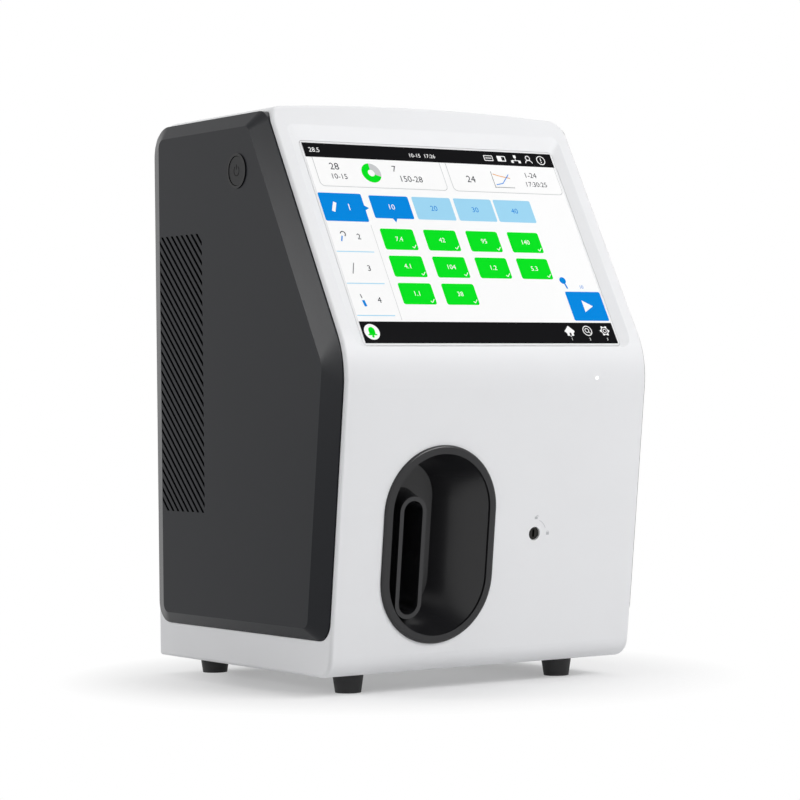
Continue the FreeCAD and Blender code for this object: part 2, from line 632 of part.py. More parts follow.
# Main shell: one white moulding with front, roof, skirt and a rear frame
def main_shell():
    solid = body_solid(0)
    solid = solid.makeFillet(val("front_edge_radius"), front_edges(solid)).Solids[0]
    full = solid.copy()
    solid = solid.cut(body_solid(val("wall")))
    # A ledge behind each side opening carries the side cover
    ledge = val("ledge")
    ring = slab(outline(inset(PROFILE, [val("ledge_merge")] * 5, [0] * 5), across_at(0)),
                Vector(ledge, 0, 0))
    window = slab(outline(cover_outline(val("ledge_width")), across_at(-OVERRUN)),
                  Vector(ledge + 2 * OVERRUN, 0, 0))
    ring = ring.cut(window)
    opening = slab(outline(cover_outline(-val("cover_gap")), across_at(0)),
                   Vector(ledge + OVERRUN, 0, 0))
    right_ledge = ring.translated(Vector(val("cover_seat") - ledge, 0, 0))
    left_ledge = ring.translated(Vector(-val("cover_seat"), 0, 0))
    solid = solid.fuse([right_ledge.common(full), left_ledge.common(full)])
    solid = solid.cut([opening.translated(Vector(val("cover_seat"), 0, 0)),
                       opening.translated(Vector(-val("cover_seat") - ledge - OVERRUN, 0, 0))])
    # Thicker frame round the screen, with four bosses for its bracket
    upper = frame_placement(UPPER_FACE)
    pad = Part.makeBox(val("2 * pad_half_width"), val("module_depth - wall / 2"),
                       val("pad_top - pad_low"),
                       Vector(val("-pad_half_width"), val("wall / 2"), val("pad_low")))
    extras = [pad]
    for x in (val("-display_screw_x"), val("display_screw_x")):
        for up in (val("display_screw_low"), val("display_screw_top")):
            extras.append(Part.makeCylinder(val("display_boss_radius"), val("bracket_depth - wall"),
                                            Vector(x, val("wall"), up), Vector(0, 1, 0)))
    for extra in extras:
        extra.Placement = upper.multiply(extra.Placement)
    solid = solid.fuse([extra.common(full) for extra in extras])
    # Sloped recess and window for the screen
    half_recess = val("recess_width / 2")
    slope_reach = val("screen_depth") + OVERRUN
    glass = glass_corners(val("glass_gap"))
    rim = [(-half_recess, val("recess_low")), (half_recess, val("recess_low")),
           (half_recess, val("recess_top")), (-half_recess, val("recess_top"))]
    spread = slope_reach / val("screen_depth")
    outer = [(g[0] + (r[0] - g[0]) * spread, g[1] + (r[1] - g[1]) * spread, val("recess_radius"))
             for g, r in zip(glass, rim)]
    recess = Part.makeLoft([outline(outer, upright_at(-OVERRUN)),
                            outline(glass, upright_at(val("screen_depth")))], True, True)
    window = slab(outline(glass, upright_at(0)), Vector(0, val("bracket_depth"), 0))
    tools = [recess, window]
    for x in (val("-display_screw_x"), val("display_screw_x")):
        for up in (val("display_screw_low"), val("display_screw_top")):
            tools.append(Part.makeCylinder(val("small_screw_radius + screw_play"),
                                           val("screw_grip + overrun"),
                                           Vector(x, val("bracket_depth - screw_grip"), up),
                                           Vector(0, 1, 0)))
    for tool in tools:
        tool.Placement = upper.multiply(tool.Placement)
    # Holes of the lower face: sampling port, lock and status light
    port = slab(outline(obround(val("port_x"), val("port_up"), val("port_hole_radius"),
                                val("port_half_height - port_radius + port_hole_radius")),
                        upright_at(-val("knuckle_radius"))),
                Vector(0, val("knuckle_radius + 3 * wall"), 0))
    lock = Part.makeCylinder(val("lock_hole_radius"), val("4 * wall"),
                             Vector(val("lock_x"), val("-wall"), val("lock_up")), Vector(0, 1, 0))
    light = Part.makeCylinder(val("light_radius + screw_play"), val("4 * wall"),
                              Vector(val("light_x"), val("-wall"), val("light_up")), Vector(0, 1, 0))
    lower = frame_placement(LOWER_FACE)
    for tool in (port, lock, light):
        tool.Placement = lower.multiply(tool.Placement)
        tools.append(tool)
    # Openings in the bottom and the rear, and the holes for the foot screws
    hole = val("hole_radius")
    half = val("bottom_hole_width / 2")
    front = val("-bottom_hole_front")
    back = val("bottom_hole_rear")
    bottom = [(-half, front, hole), (half, front, hole), (half, back, hole), (-half, back, hole)]
    tools.append(slab(outline(bottom, lambda point: Vector(point.x, point.y, 0)),
                      Vector(0, 0, val("foot_height + 2 * wall"))))
    half = val("rear_hole_width / 2")
    low = val("rear_hole_low")
    top = val("rear_hole_top")
    rear = [(-half, low, hole), (half, low, hole), (half, top, hole), (-half, top, hole)]
    tools.append(slab(outline(rear, upright_at(val("rear_plane - 2 * wall"))),
                      Vector(0, val("3 * wall"), 0)))
    for x in (val("-foot_spread"), val("foot_spread")):
        for y in (val("-foot_front"), val("foot_rear")):
            tools.append(Part.makeCylinder(val("foot_screw_radius + screw_play"),
                                           val("foot_height + 2 * wall"), Vector(x, y, 0)))
    for x, z in PANEL_SCREWS:
        tools.append(Part.makeCylinder(val("small_screw_radius + screw_play"), val("3 * wall"),
                                       Vector(val(x), val("rear_plane - 2 * wall"), val(z)),
                                       Vector(0, 1, 0)))
        tools.append(Part.makeCylinder(val("small_head_radius + screw_play"), val("small_head + overrun"),
                                       Vector(val(x), val("rear_plane - small_head"), val(z)),
                                       Vector(0, 1, 0)))
    for tool in tools:
        solid = solid.cut(tool)
    return solid.removeSplitter()


def glass_corners(gap):
    """The screen glass seen square on, widened by a gap."""
    half = val("screen_width / 2") + gap
    low = val("screen_low") - gap
    top = val("screen_low + screen_height") + gap
    corner = val("glass_radius") + gap
    return [(-half, low, corner), (half, low, corner), (half, top, corner), (-half, top, corner)]


# Where the rear panel's screws go, on the frame round the rear opening
PANEL_SCREW_SHARES = (0.08, 0.5, 0.92)
PANEL_SCREWS = [(f"{side} * (rear_hole_width / 2 + panel_screw_inset)",
                 f"rear_hole_low + (rear_hole_top - rear_hole_low) * {share}")
                for side in (-1, 1) for share in PANEL_SCREW_SHARES]

node(coded(main_shell()), "main_shell")


# Side covers: dark mouldings with a sloped border round a flat face
def side_cover(side, rib_heights):
    """One cover with stiffening ribs across its inside at the given heights."""
    seat = val("cover_seat")
    edge = HALF_WIDTH + val("cover_edge")
    face = val("cover_face")
    skin = val("cover_skin")

    def layer(extra, x):
        return outline(cover_outline(extra), across_at(side * x))

    def flat(extra, x):
        return outline(crease_outline(extra), across_at(side * x))

    outer = slab(layer(0, seat), Vector(side * (edge - seat), 0, 0))
    outer = outer.fuse(Part.makeLoft([layer(0, edge), flat(0, face)], True, True))
    inner = slab(layer(skin, seat - OVERRUN), Vector(side * (edge - skin / 2 - seat + OVERRUN), 0, 0))
    inner = inner.fuse(Part.makeLoft([layer(skin, edge - skin / 2), flat(skin / 2, face - skin)],
                                     True, True))
    ribs = []
    depth = val("cover_rib_depth")
    for height in rib_heights:
        corner = Vector(side * (face - skin / 2 - depth / 2) - depth / 2, -val("body_width"), height)
        rib = Part.makeBox(depth, val("2 * body_width"), val("cover_rib"), corner)
        ribs.append(rib.common(outer))
    return outer.cut(inner).fuse(ribs)


def vent_slits():
    """Diagonal slits, running down towards the front, inside a rectangular field."""
    front = val("vent_front")
    rear = val("vent_rear")
    low = val("vent_low")
    top = val("vent_top")
    pitch = val("vent_pitch")
    slit = val("vent_slit")
    width = rear - front
    reach = val("cover_proud + 2 * cover_skin")
    field = Part.makeBox(reach, width, top - low, Vector(val("-cover_face - cover_skin"), front, low))
    slits = []
    height = low - width + pitch
    while height < top - pitch / 2:
        rise = slit * math.sqrt(2)
        corners = [(front, height, 0), (rear, height + width, 0),
                   (rear, height + width + rise, 0), (front, height + rise, 0)]
        slits.append(slab(outline(corners, across_at(val("-cover_face - cover_skin"))),
                          Vector(reach, 0, 0)))
        height += pitch
    return Part.makeCompound(slits).common(field)


def left_side_cover():
    solid = side_cover(-1, [val("vent_low - 4 * cover_rib"), val("vent_top + 3 * cover_rib")])
    solid = solid.cut(vent_slits())
    hole = Part.makeCylinder(val("ring_barrel_radius + ring_play"), val("3 * cover_proud"),
                             Vector(val("-cover_face - cover_proud"), val("button_y"), val("button_z")),
                             Vector(1, 0, 0))
    return solid.cut(hole).removeSplitter()


def right_side_cover():
    solid = side_cover(1, [val("drawer_top + 4 * cover_rib"), val("vent_top + 3 * cover_rib")])
    gap = val("drawer_gap")
    front = val("drawer_front") - gap
    back = val("drawer_back") + gap
    low = val("drawer_low") - gap
    top = val("drawer_top") + gap
    corner = val("drawer_radius") + gap
    hole = [(front, low, corner), (back, low, corner), (back, top, corner), (front, top, corner)]
    return solid.cut(slab(outline(hole, across_at(val("half_width - cover_proud"))),
                          Vector(val("3 * cover_proud"), 0, 0))).removeSplitter()


node(coded(left_side_cover()), "left_side_cover")
node(coded(right_side_cover()), "right_side_cover")

# Feet: tapered rubber with a recessed screw up through the skirt into the base plate
FOOT_PLACES = {
    "foot_front_left": ("-foot_spread", "-foot_front"),
    "foot_front_right": ("foot_spread", "-foot_front"),
    "foot_rear_left": ("-foot_spread", "foot_rear"),
    "foot_rear_right": ("foot_spread", "foot_rear"),
}
foot_screws = []
for name, (x, y) in FOOT_PLACES.items():
    taper = cone("z", "foot_low_radius", "foot_top_radius", (x, y, "0"), "foot_height")
    recess = rod("z", "foot_recess_radius", (x, y, "-overrun"), "foot_recess_depth + overrun")
    bore = rod("z", "foot_screw_radius + screw_play", (x, y, "0"), "foot_height + overrun")
    node(cut(taper, recess, bore), name)
    head = rod("z", "foot_screw_head_radius", (x, y, "foot_recess_depth - foot_screw_head"),
               "foot_screw_head")
    shank = rod("z", "foot_screw_radius", (x, y, "foot_recess_depth - foot_screw_head / 2"),
                "base_top - foot_recess_depth + foot_screw_head / 2 + screw_grip / 2")
    foot_screws.append(fuse(head, shank))
node(group(*foot_screws), "foot_screws")

# Base plate: steel sheet on the skirt's flange
frame_width = ("-frame_half_width", "frame_half_width")
base = prism("XY_Plane", rectangle(frame_width, ("-base_front", "base_rear")), "base_low", "base_top",
             all_round("hole_radius"))
base_holes = [rod("z", "foot_screw_radius + screw_play", (x, y, "base_low - overrun"),
                  "base_thick + 2 * overrun") for x, y in FOOT_PLACES.values()]
flange_middle = "bulkhead_rear + bulkhead_flange / 2"
base_holes += [rod("z", "small_screw_radius + screw_play",
                   (f"{side} * flange_screw_x", flange_middle, "base_low - overrun"),
                   "base_thick + 2 * overrun") for side in (-1, 1)]
node(cut(base, *base_holes), "base_plate")

# Bulkhead: upright steel plate between the wet side in front and the electronics behind
upright = prism("XZ_Plane", rectangle(frame_width, ("base_top", "bulkhead_top")),
                "bulkhead_front", "bulkhead_rear", {2: "bulkhead_radius", 3: "bulkhead_radius"})
flange = box(frame_width, ("bulkhead_rear", "bulkhead_rear + bulkhead_flange"),
             ("base_top", "base_top + bulkhead_thick"))
cable_holes = [rod("y", "cable_hole_radius", (f"{side} * cable_hole_x", "bulkhead_front - overrun",
                                               "cable_hole_z"), "bulkhead_thick + 2 * overrun")
               for side in (-1, 1)]
flange_holes = [rod("z", "small_screw_radius + screw_play",
                    (f"{side} * flange_screw_x", flange_middle, "base_top - overrun"),
                    "bulkhead_thick + 2 * overrun") for side in (-1, 1)]
pump_hole = rod("y", "pump_shaft_radius + screw_play", ("pump_x", "bulkhead_front - overrun", "pump_z"),
                "bulkhead_thick + 2 * overrun")
node(cut(fuse(upright, flange), pump_hole, *cable_holes, *flange_holes), "bulkhead")
frame_screws = []
for side in (-1, 1):
    spot = (f"{side} * flange_screw_x", flange_middle)
    head = rod("z", "small_head_radius", (*spot, "base_top + bulkhead_thick"), "small_head")
    shank = rod("z", "small_screw_radius", (*spot, "base_low"),
                "base_thick + bulkhead_thick + small_head / 2")
    frame_screws.append(fuse(head, shank))

# Screen: touch glass, display module, bracket and its screws, all along the upper face
glass = prism("XZ_Plane", rectangle(("-screen_width / 2", "screen_width / 2"),
                                    ("screen_low", "screen_low + screen_height")),
              "screen_depth", "module_depth", all_round("glass_radius"))
node(glass, "display_glass", UPPER_FACE)
module = prism("XZ_Plane", rectangle(("-module_width / 2", "module_width / 2"),
                                     ("module_low", "module_low + module_height")),
               "module_depth", "bracket_depth", all_round("glass_radius / 2"))
node(module, "display_module", UPPER_FACE)
bracket_height = ("module_low + bracket_margin", "module_low + module_height - bracket_margin")
bracket = prism("XZ_Plane", rectangle(("-bracket_half_width", "bracket_half_width"), bracket_height),
                "bracket_depth", "bracket_depth + sheet", all_round("hole_radius"))
window_middle = "module_low + module_height / 2"
window = box(("-bracket_window_width / 2", "bracket_window_width / 2"),
             ("bracket_depth - overrun", "bracket_depth + sheet + overrun"),
             (f"{window_middle} - bracket_window_height / 2",
              f"{window_middle} + bracket_window_height / 2"))
display_spots = [(f"{side} * display_screw_x", up) for side in (-1, 1)
                 for up in ("display_screw_low", "display_screw_top")]
bracket_holes = [rod("y", "small_screw_radius + screw_play", (x, "bracket_depth - overrun", up),
                     "sheet + 2 * overrun") for x, up in display_spots]
node(cut(bracket, window, *bracket_holes), "display_bracket", UPPER_FACE)
display_screws = []
for x, up in display_spots:
    head = rod("y", "small_head_radius", (x, "bracket_depth + sheet", up), "small_head")
    shank = rod("y", "small_screw_radius", (x, "bracket_depth - screw_grip + screw_play", up),
                "screw_grip - screw_play + sheet + small_head / 2")
    display_screws.append(fuse(head, shank))
node(group(*display_screws), "display_screws", UPPER_FACE)


# Sampling port: dark moulding with a raised rim, a scoop and a hollow column behind the slot
def port_corners(shrink):
    """The port's outline with its radius made smaller."""
    return obround(val("port_x"), val("port_up"), val("port_radius") - shrink,
                   val("port_half_height") - shrink)


def dish_back_corners(grow):
    """The outline of the dish's floor."""
    return obround(val("dish_back_x"), val("port_up"), val("dish_back_radius") + grow,
                   val("dish_back_half_height") + grow)


def slot_corners(grow):
    """The outline of the slot, made wider all round."""
    return obround(val("slot_x"), val("slot_up"), val("slot_width / 2") + grow,
                   val("slot_height / 2") + grow)


def port_surround():
    depth = val("dish_depth")
    skin = val("dish_skin")
    bead_width = val("bead_width")
    proud = val("bead_proud")
    bead = slab(outline(port_corners(0), upright_at(-proud)), Vector(0, proud, 0))
    rim_edges = [edge for edge in bead.Edges
                 if abs(edge.BoundBox.YMin + proud) < NEAR and abs(edge.BoundBox.YMax + proud) < NEAR]
    bead = bead.makeFillet(proud * RIM_ROUND_SHARE, rim_edges)
    shrink = val("port_radius - port_hole_radius + port_gap")
    skirt = slab(outline(port_corners(shrink), upright_at(-proud / 2)),
                 Vector(0, val("wall") + proud / 2, 0))
    outer = Part.makeLoft([outline(port_corners(shrink), upright_at(val("wall"))),
                           outline(dish_back_corners(skin), upright_at(depth + skin))], True, True)
    solid = bead.fuse([skirt, outer])
    hollow = Part.makeLoft([outline(port_corners(bead_width), upright_at(0)),
                            outline(dish_back_corners(0), upright_at(depth))], True, True)
    mouth = slab(outline(port_corners(bead_width), upright_at(-proud - OVERRUN)),
                 Vector(0, proud + OVERRUN, 0))
    solid = solid.cut([hollow, mouth])
    # The column comes forward from the floor, and its right cheek slopes away
    lip = val("slot_lip")
    spread = val("column_spread")
    foot = obround(val("slot_x") + spread / 2, val("slot_up"),
                   val("slot_width / 2") + lip + spread / 2, val("slot_height / 2") + lip + spread / 2)
    column = Part.makeLoft([outline(slot_corners(lip), upright_at(val("column_depth + lip_thick"))),
                            outline(foot, upright_at(depth + skin / 2))], True, True)
    solid = solid.fuse(column)
    slot = slab(outline(slot_corners(0), upright_at(val("column_depth") - OVERRUN)),
                Vector(0, depth + skin, 0))
    return solid.cut(slot).removeSplitter()


def slot_lip():
    """A separate ring on the front of the column, round the slot."""
    ring = slab(outline(slot_corners(val("slot_lip")), upright_at(val("column_depth"))),
                Vector(0, val("lip_thick"), 0))
    hole = slab(outline(slot_corners(0), upright_at(val("column_depth") - OVERRUN)),
                Vector(0, val("lip_thick") + 2 * OVERRUN, 0))
    return ring.cut(hole)


node(coded(port_surround(), LOWER_FACE), "port_surround")
node(coded(slot_lip(), LOWER_FACE), "slot_lip")

# Lock: barrel and nut behind the hole, a turning core with a keyway and a cam
barrel = rod("y", "lock_barrel_radius", ("lock_x", "wall", "lock_up"), "lock_barrel_length")
nut = rod("y", "lock_nut_radius", ("lock_x", "wall", "lock_up"), "lock_nut_thick")
bore = rod("y", "lock_core_radius + shaft_play", ("lock_x", "wall - overrun", "lock_up"),
           "lock_barrel_length + 2 * overrun")
node(cut(fuse(barrel, nut), bore), "lock_barrel", LOWER_FACE)
core = rod("y", "lock_core_radius", ("lock_x", "lock_core_front", "lock_up"),
           "cam_front - lock_core_front")
keyway = box(("lock_x - keyway_width / 2", "lock_x + keyway_width / 2"),
             ("lock_core_front - overrun", "lock_core_front + keyway_depth"),
             ("lock_up - keyway_height / 2", "lock_up + keyway_height / 2"))
node(cut(core, keyway), "lock_core", LOWER_FACE)
cam_bar = box(("lock_x", "lock_x + cam_reach - cam_width / 2"), ("cam_front", "cam_front + cam_thick"),
              ("lock_up - cam_width / 2", "lock_up + cam_width / 2"))
cam_hub = rod("y", "cam_width / 2", ("lock_x", "cam_front", "lock_up"), "cam_thick")
cam_tip = rod("y", "cam_width / 2", ("lock_x + cam_reach - cam_width / 2", "cam_front", "lock_up"),
              "cam_thick")
node(fuse(cam_bar, cam_hub, cam_tip), "lock_cam", LOWER_FACE)

# Status light: clear pipe with a flange behind the wall, and its small board
pipe = rod("y", "light_radius", ("light_x", "light_sink", "light_up"), "light_back - light_sink")
pipe_flange = rod("y", "light_flange_radius", ("light_x", "light_back - light_flange", "light_up"),
                  "light_flange")
node(fuse(pipe, pipe_flange), "status_light", LOWER_FACE)
light_board = prism("XZ_Plane", rectangle(("light_x - light_board_width / 2",
                                           "light_x + light_board_width / 2"),
                                          ("light_up - light_board_height / 2",
                                           "light_up + light_board_height / 2")),
                    "light_back", "light_back + light_board", all_round("light_radius"))
node(light_board, "status_light_board", LOWER_FACE)

# Power button: ring through the left cover, moving cap, switch held in the end of the ring
spot = ("button_y", "button_z")
ring = fuse(rod("x", "ring_radius", ("ring_front", *spot), "ring_proud"),
            rod("x", "ring_barrel_radius", ("ring_front", *spot), "ring_length"),
            rod("x", "ring_lip_radius", ("cover_inside", *spot), "ring_lip"))
ring_bore = rod("x", "ring_inner_radius", ("ring_front - overrun", *spot), "ring_length + 2 * overrun")
node(cut(ring, ring_bore), "power_button_ring")
cap = rod("x", "button_radius", ("button_front", *spot), "button_thick")
plunger = rod("x", "plunger_radius", ("button_front + button_thick / 2", *spot),
              "ring_length - button_sink - button_thick / 2 - button_travel - switch_gap")
node(fuse(cap, plunger), "power_button")
switch_body = rod("x", "ring_barrel_radius", ("switch_front", *spot), "switch_length")
switch_pins = [box(("switch_front + switch_length", "switch_front + switch_length + pin_length"),
                   (f"button_y + {side} * switch_pin_spread - switch_pin / 2",
                    f"button_y + {side} * switch_pin_spread + switch_pin / 2"),
                   ("button_z - switch_pin", "button_z + switch_pin")) for side in (-1, 1)]
node(fuse(switch_body, *switch_pins), "power_switch")

# Sampler: swinging arm with a needle on a shaft, motor on a bracket
arm_hub = rod("x", "arm_hub_radius", ("arm_left", "arm_y", "arm_z"), "arm_thick")
arm_bar = box(("arm_left", "arm_right"), ("arm_y - arm_breadth / 2", "arm_y + arm_breadth / 2"),
              ("arm_z", "arm_z + arm_reach - needle_length"))
arm_bore = rod("x", "shaft_radius", ("arm_left - overrun", "arm_y", "arm_z"), "arm_thick + 2 * overrun")
node(cut(fuse(arm_hub, arm_bar), arm_bore), "sampler_arm")
node(rod("z", "needle_radius", ("slot_x", "arm_y", "arm_z + arm_reach - needle_length"), "needle_length"),
     "sample_needle")
node(rod("x", "shaft_radius", ("motor_face - shaft_sink", "arm_y", "arm_z"),
         "arm_right - motor_face + shaft_sink"), "arm_shaft")
bracket_width = ("arm_y - arm_bracket_width / 2", "arm_y + arm_bracket_width / 2")
arm_plate = box(("motor_face", "bracket_face"), bracket_width, ("base_top", "arm_bracket_top"))
arm_foot = box(("motor_face", "bracket_face + arm_bracket_foot"), bracket_width,
               ("base_top", "base_top + arm_bracket_thick"))
shaft_hole = rod("x", "shaft_radius + shaft_play", ("motor_face - overrun", "arm_y", "arm_z"),
                 "arm_bracket_thick + 2 * overrun")
node(cut(fuse(arm_plate, arm_foot), shaft_hole), "arm_bracket")
gearbox = box(("motor_face - gearbox_length", "motor_face"),
              ("arm_y - gearbox / 2", "arm_y + gearbox / 2"),
              ("arm_z - gearbox / 2", "arm_z + gearbox / 2"))
motor = rod("x", "motor_radius", ("motor_face - gearbox_length - motor_length", "arm_y", "arm_z"),
            "motor_length + gearbox_length / 2")
motor_hole = rod("x", "shaft_radius + shaft_play",
                 ("motor_face - shaft_sink - shaft_play", "arm_y", "arm_z"),
                 "shaft_sink + shaft_play + overrun")
node(cut(fuse(gearbox, motor), motor_hole), "arm_motor")

# Measuring block with the sensor card on its front
block = prism("XZ_Plane", rectangle(("block_left", "block_right"), ("block_low", "block_top")),
              "block_front", "bulkhead_front", all_round("crease_radius"))
probe_hole = rod("z", "probe_hole_radius", ("slot_x", "arm_y", "block_low - overrun"),
                 "probe_hole_depth + overrun")
node(cut(block, probe_hole), "measuring_block")
node(prism("XZ_Plane", rectangle(("block_left + card_margin", "block_right - card_margin"),
                                 ("block_low + card_margin", "block_top - card_margin")),
           "block_front - card_thick", "block_front", all_round("glass_radius")), "sensor_card")

# Valve block with its solenoid valves
manifold = box(("valve_left", "valve_right"), ("valve_front", "bulkhead_front"),
               ("valve_low", "valve_top"))
valves = []
for number in range(SIZES["valve_count"]):
    across = f"valve_left + (valve_right - valve_left) * (2 * {number} + 1) / (2 * valve_count)"
    valves.append(rod("y", "valve_radius",
                      (across, "valve_front - valve_length", "(valve_low + valve_top) / 2"),
                      "valve_length + overrun"))
node(fuse(manifold, *valves), "valve_block")

# Roller pump: housing on the bulkhead, rotor with rollers, motor behind
housing = rod("y", "pump_radius", ("pump_x", "pump_front", "pump_z"), "bulkhead_front - pump_front")
pump_bore = rod("y", "pump_bore", ("pump_x", "pump_front - overrun", "pump_z"),
                "bulkhead_front - pump_front - pump_back + overrun")
shaft_pass = rod("y", "pump_shaft_radius + shaft_play", ("pump_x", "pump_front", "pump_z"),
                 "bulkhead_front")
node(cut(housing, pump_bore, shaft_pass), "pump_housing")
rotor_hub = rod("y", "pump_rotor_radius", ("pump_x", "pump_hub_rear - rotor_thick", "pump_z"),
                "rotor_thick")
rotor_plates = [rod("y", "rotor_plate_radius", ("pump_x", start, "pump_z"), "rotor_plate")
                for start in ("pump_hub_rear - rotor_thick", "pump_hub_rear - rotor_plate")]
rotor_shaft = rod("y", "pump_shaft_radius", ("pump_x", "pump_hub_rear - overrun", "pump_z"),
                  "bulkhead_rear - pump_hub_rear + overrun + shaft_sink")
pin_holes = []
rollers = []
roller_pockets = []
for number in range(SIZES["roller_count"]):
    turn = f"{number} * 360 / roller_count"
    x = f"pump_x + roller_orbit * cos({turn})"
    z = f"pump_z + roller_orbit * sin({turn})"
    roller_pockets.append(rod("y", "roller_radius + roller_side_gap",
                              (x, "pump_hub_rear - rotor_thick + rotor_plate", z),
                              "rotor_thick - 2 * rotor_plate"))
    pin_holes.append(rod("y", "roller_pin_radius", (x, "pump_hub_rear - rotor_thick - overrun", z),
                         "rotor_thick + 2 * overrun"))
    roller = rod("y", "roller_radius",
                 (x, "pump_hub_rear - rotor_thick + rotor_plate + roller_side_gap", z),
                 "rotor_thick - 2 * rotor_plate - 2 * roller_side_gap")
    pin = rod("y", "roller_pin_radius", (x, "pump_hub_rear - rotor_thick", z), "rotor_thick")
    rollers.append(fuse(roller, pin))
node(cut(fuse(rotor_hub, *rotor_plates, rotor_shaft), *pin_holes, *roller_pockets), "pump_rotor")
node(group(*rollers), "pump_rollers")
pump_motor = rod("y", "pump_motor_radius", ("pump_x", "bulkhead_rear", "pump_z"), "pump_motor_length")
pump_motor_hole = rod("y", "pump_shaft_radius + shaft_play",
                      ("pump_x", "bulkhead_rear - overrun", "pump_z"),
                      "shaft_sink + shaft_play + overrun")
node(cut(pump_motor, pump_motor_hole), "pump_motor")

# Reagent drawer: bay and runners fixed, tray, front and reagent pack moving
bay_floor = box(("bay_left", "bay_right"), ("bay_front", "bay_back"), ("bay_floor - sheet", "bay_floor"))
bay_walls = [box(("bay_left", "bay_right"), side, ("base_top", "bay_top"))
             for side in (("bay_front - sheet", "bay_front"), ("bay_back", "bay_back + sheet"))]
lug_slot = box(("lug_slot_left", "bay_right + overrun"),
               ("bay_front - sheet - overrun", "bay_front + overrun"),
               ("lug_low - lug_slot_gap", "lug_top + lug_slot_gap"))
node(cut(fuse(bay_floor, *bay_walls), lug_slot), "drawer_bay")
runners = [box(("bay_left + runner_margin", "bay_right - runner_margin"), side,
               ("runner_low", "runner_low + runner_height"))
           for side in (("bay_front", "tray_front - runner_gap"), ("tray_back + runner_gap", "bay_back"))]
node(group(*runners), "drawer_runners")
tray = prism("XY_Plane", rectangle(("tray_left", "tray_right"), ("tray_front", "tray_back")),
             "tray_low", "tray_top", {0: "pack_radius", 3: "pack_radius"})
tray_well = box(("tray_left + tray_skin", "tray_right - tray_skin"),
                ("tray_front + tray_skin", "tray_back - tray_skin"),
                ("tray_low + tray_skin", "tray_top + overrun"))
lug = box(("lug_left", "lug_left + lug_width"), ("tray_front - lug_reach", "tray_front + tray_skin / 2"),
          ("lug_low", "lug_top"))
node(fuse(cut(tray, tray_well), lug), "drawer_tray")
front = prism("YZ_Plane", rectangle(("drawer_front", "drawer_back"), ("drawer_low", "drawer_top")),
              "tray_right", "cover_face", all_round("drawer_radius"))
pull_middle = "(drawer_front + drawer_back) / 2"
pull_cup = box(("cover_face - pull_depth - pull_skin", "tray_right + drawer_skin / 2"),
               (f"{pull_middle} - pull_width / 2 - pull_skin",
                f"{pull_middle} + pull_width / 2 + pull_skin"),
               ("pull_low - pull_skin", "pull_low + pull_height + pull_skin"))
pull_hole = box(("cover_face - pull_depth", "cover_face + overrun"),
                (f"{pull_middle} - pull_width / 2", f"{pull_middle} + pull_width / 2"),
                ("pull_low", "pull_low + pull_height"))
node(cut(fuse(front, pull_cup), pull_hole), "drawer_front")
pack = prism("XZ_Plane", [("tray_left + tray_skin + pack_gap", "tray_low + tray_skin"),
                          ("pack_right", "tray_low + tray_skin"),
                          ("pack_right", "pack_top"),
                          ("tray_left + tray_skin + pack_gap + pack_shoulder", "pack_top"),
                          ("tray_left + tray_skin + pack_gap", "pack_top - pack_shoulder")],
             "tray_front + tray_skin + pack_gap", "tray_back - tray_skin - pack_gap",
             {2: "pack_radius", 3: "pack_radius", 4: "pack_radius"})
nipples = [rod("x", "port_nipple_radius",
               ("tray_left + tray_skin + pack_gap - port_nipple_length",
                f"tray_front + (tray_back - tray_front) * ({number} + 1) / (nipple_count + 1)",
                "tray_top + 3 * port_nipple_radius"), "port_nipple_length + overrun")
           for number in range(SIZES["nipple_count"])]
node(fuse(pack, *nipples), "reagent_pack")

# Mainboard on standoffs, with a heat sink, on the back of the bulkhead
board = prism("XZ_Plane", rectangle(("board_left", "board_right"), ("board_low", "board_top")),
              "board_front", "board_rear", all_round("glass_radius"))
corner_spots = [(x, z) for x in ("board_left + standoff_inset", "board_right - standoff_inset")
                for z in ("board_low + standoff_inset", "board_top - standoff_inset")]
connectors = [box((f"board_left + board_gap + {number} * connector_pitch",
                   f"board_left + board_gap + {number} * connector_pitch + connector_width"),
                  ("board_rear - board_thick / 2", "board_rear + connector_depth"),
                  ("board_low + board_gap", "board_low + board_gap + connector_height"))
              for number in range(SIZES["connector_count"])]
board_holes = [rod("y", "small_screw_radius + screw_play", (x, "board_front - overrun", z),
                   "board_thick + 2 * overrun") for x, z in corner_spots]
node(cut(fuse(board, *connectors), *board_holes), "mainboard")
standoffs = []
for x, z in corner_spots:
    post = rod("y", "standoff_radius", (x, "bulkhead_rear", z), "standoff")
    tapped = rod("y", "small_screw_radius + screw_play", (x, "board_front - screw_grip", z),
                 "screw_grip + overrun")
    standoffs.append(cut(post, tapped))
    head = rod("y", "small_head_radius", (x, "board_rear", z), "small_head")
    shank = rod("y", "small_screw_radius", (x, "board_front - screw_grip + screw_play", z),
                "screw_grip - screw_play + board_thick + small_head / 2")
    frame_screws.append(fuse(head, shank))
node(group(*standoffs), "board_standoffs")
node(group(*frame_screws), "frame_screws")
sink_plate = box(("sink_x - sink_width / 2", "sink_x + sink_width / 2"),
                 ("board_rear", "board_rear + sink_base"),
                 ("sink_z - sink_height / 2", "sink_z + sink_height / 2"))
fin_pitch = "(sink_width - fin_thick) / (fin_count - 1)"
fins = [box((f"sink_x - sink_width / 2 + {number} * {fin_pitch}",
             f"sink_x - sink_width / 2 + {number} * {fin_pitch} + fin_thick"),
            ("board_rear + sink_base / 2", "board_rear + sink_depth"),
            ("sink_z - sink_height / 2", "sink_z + sink_height / 2"))
        for number in range(SIZES["fin_count"])]
node(fuse(sink_plate, *fins), "heat_sink")

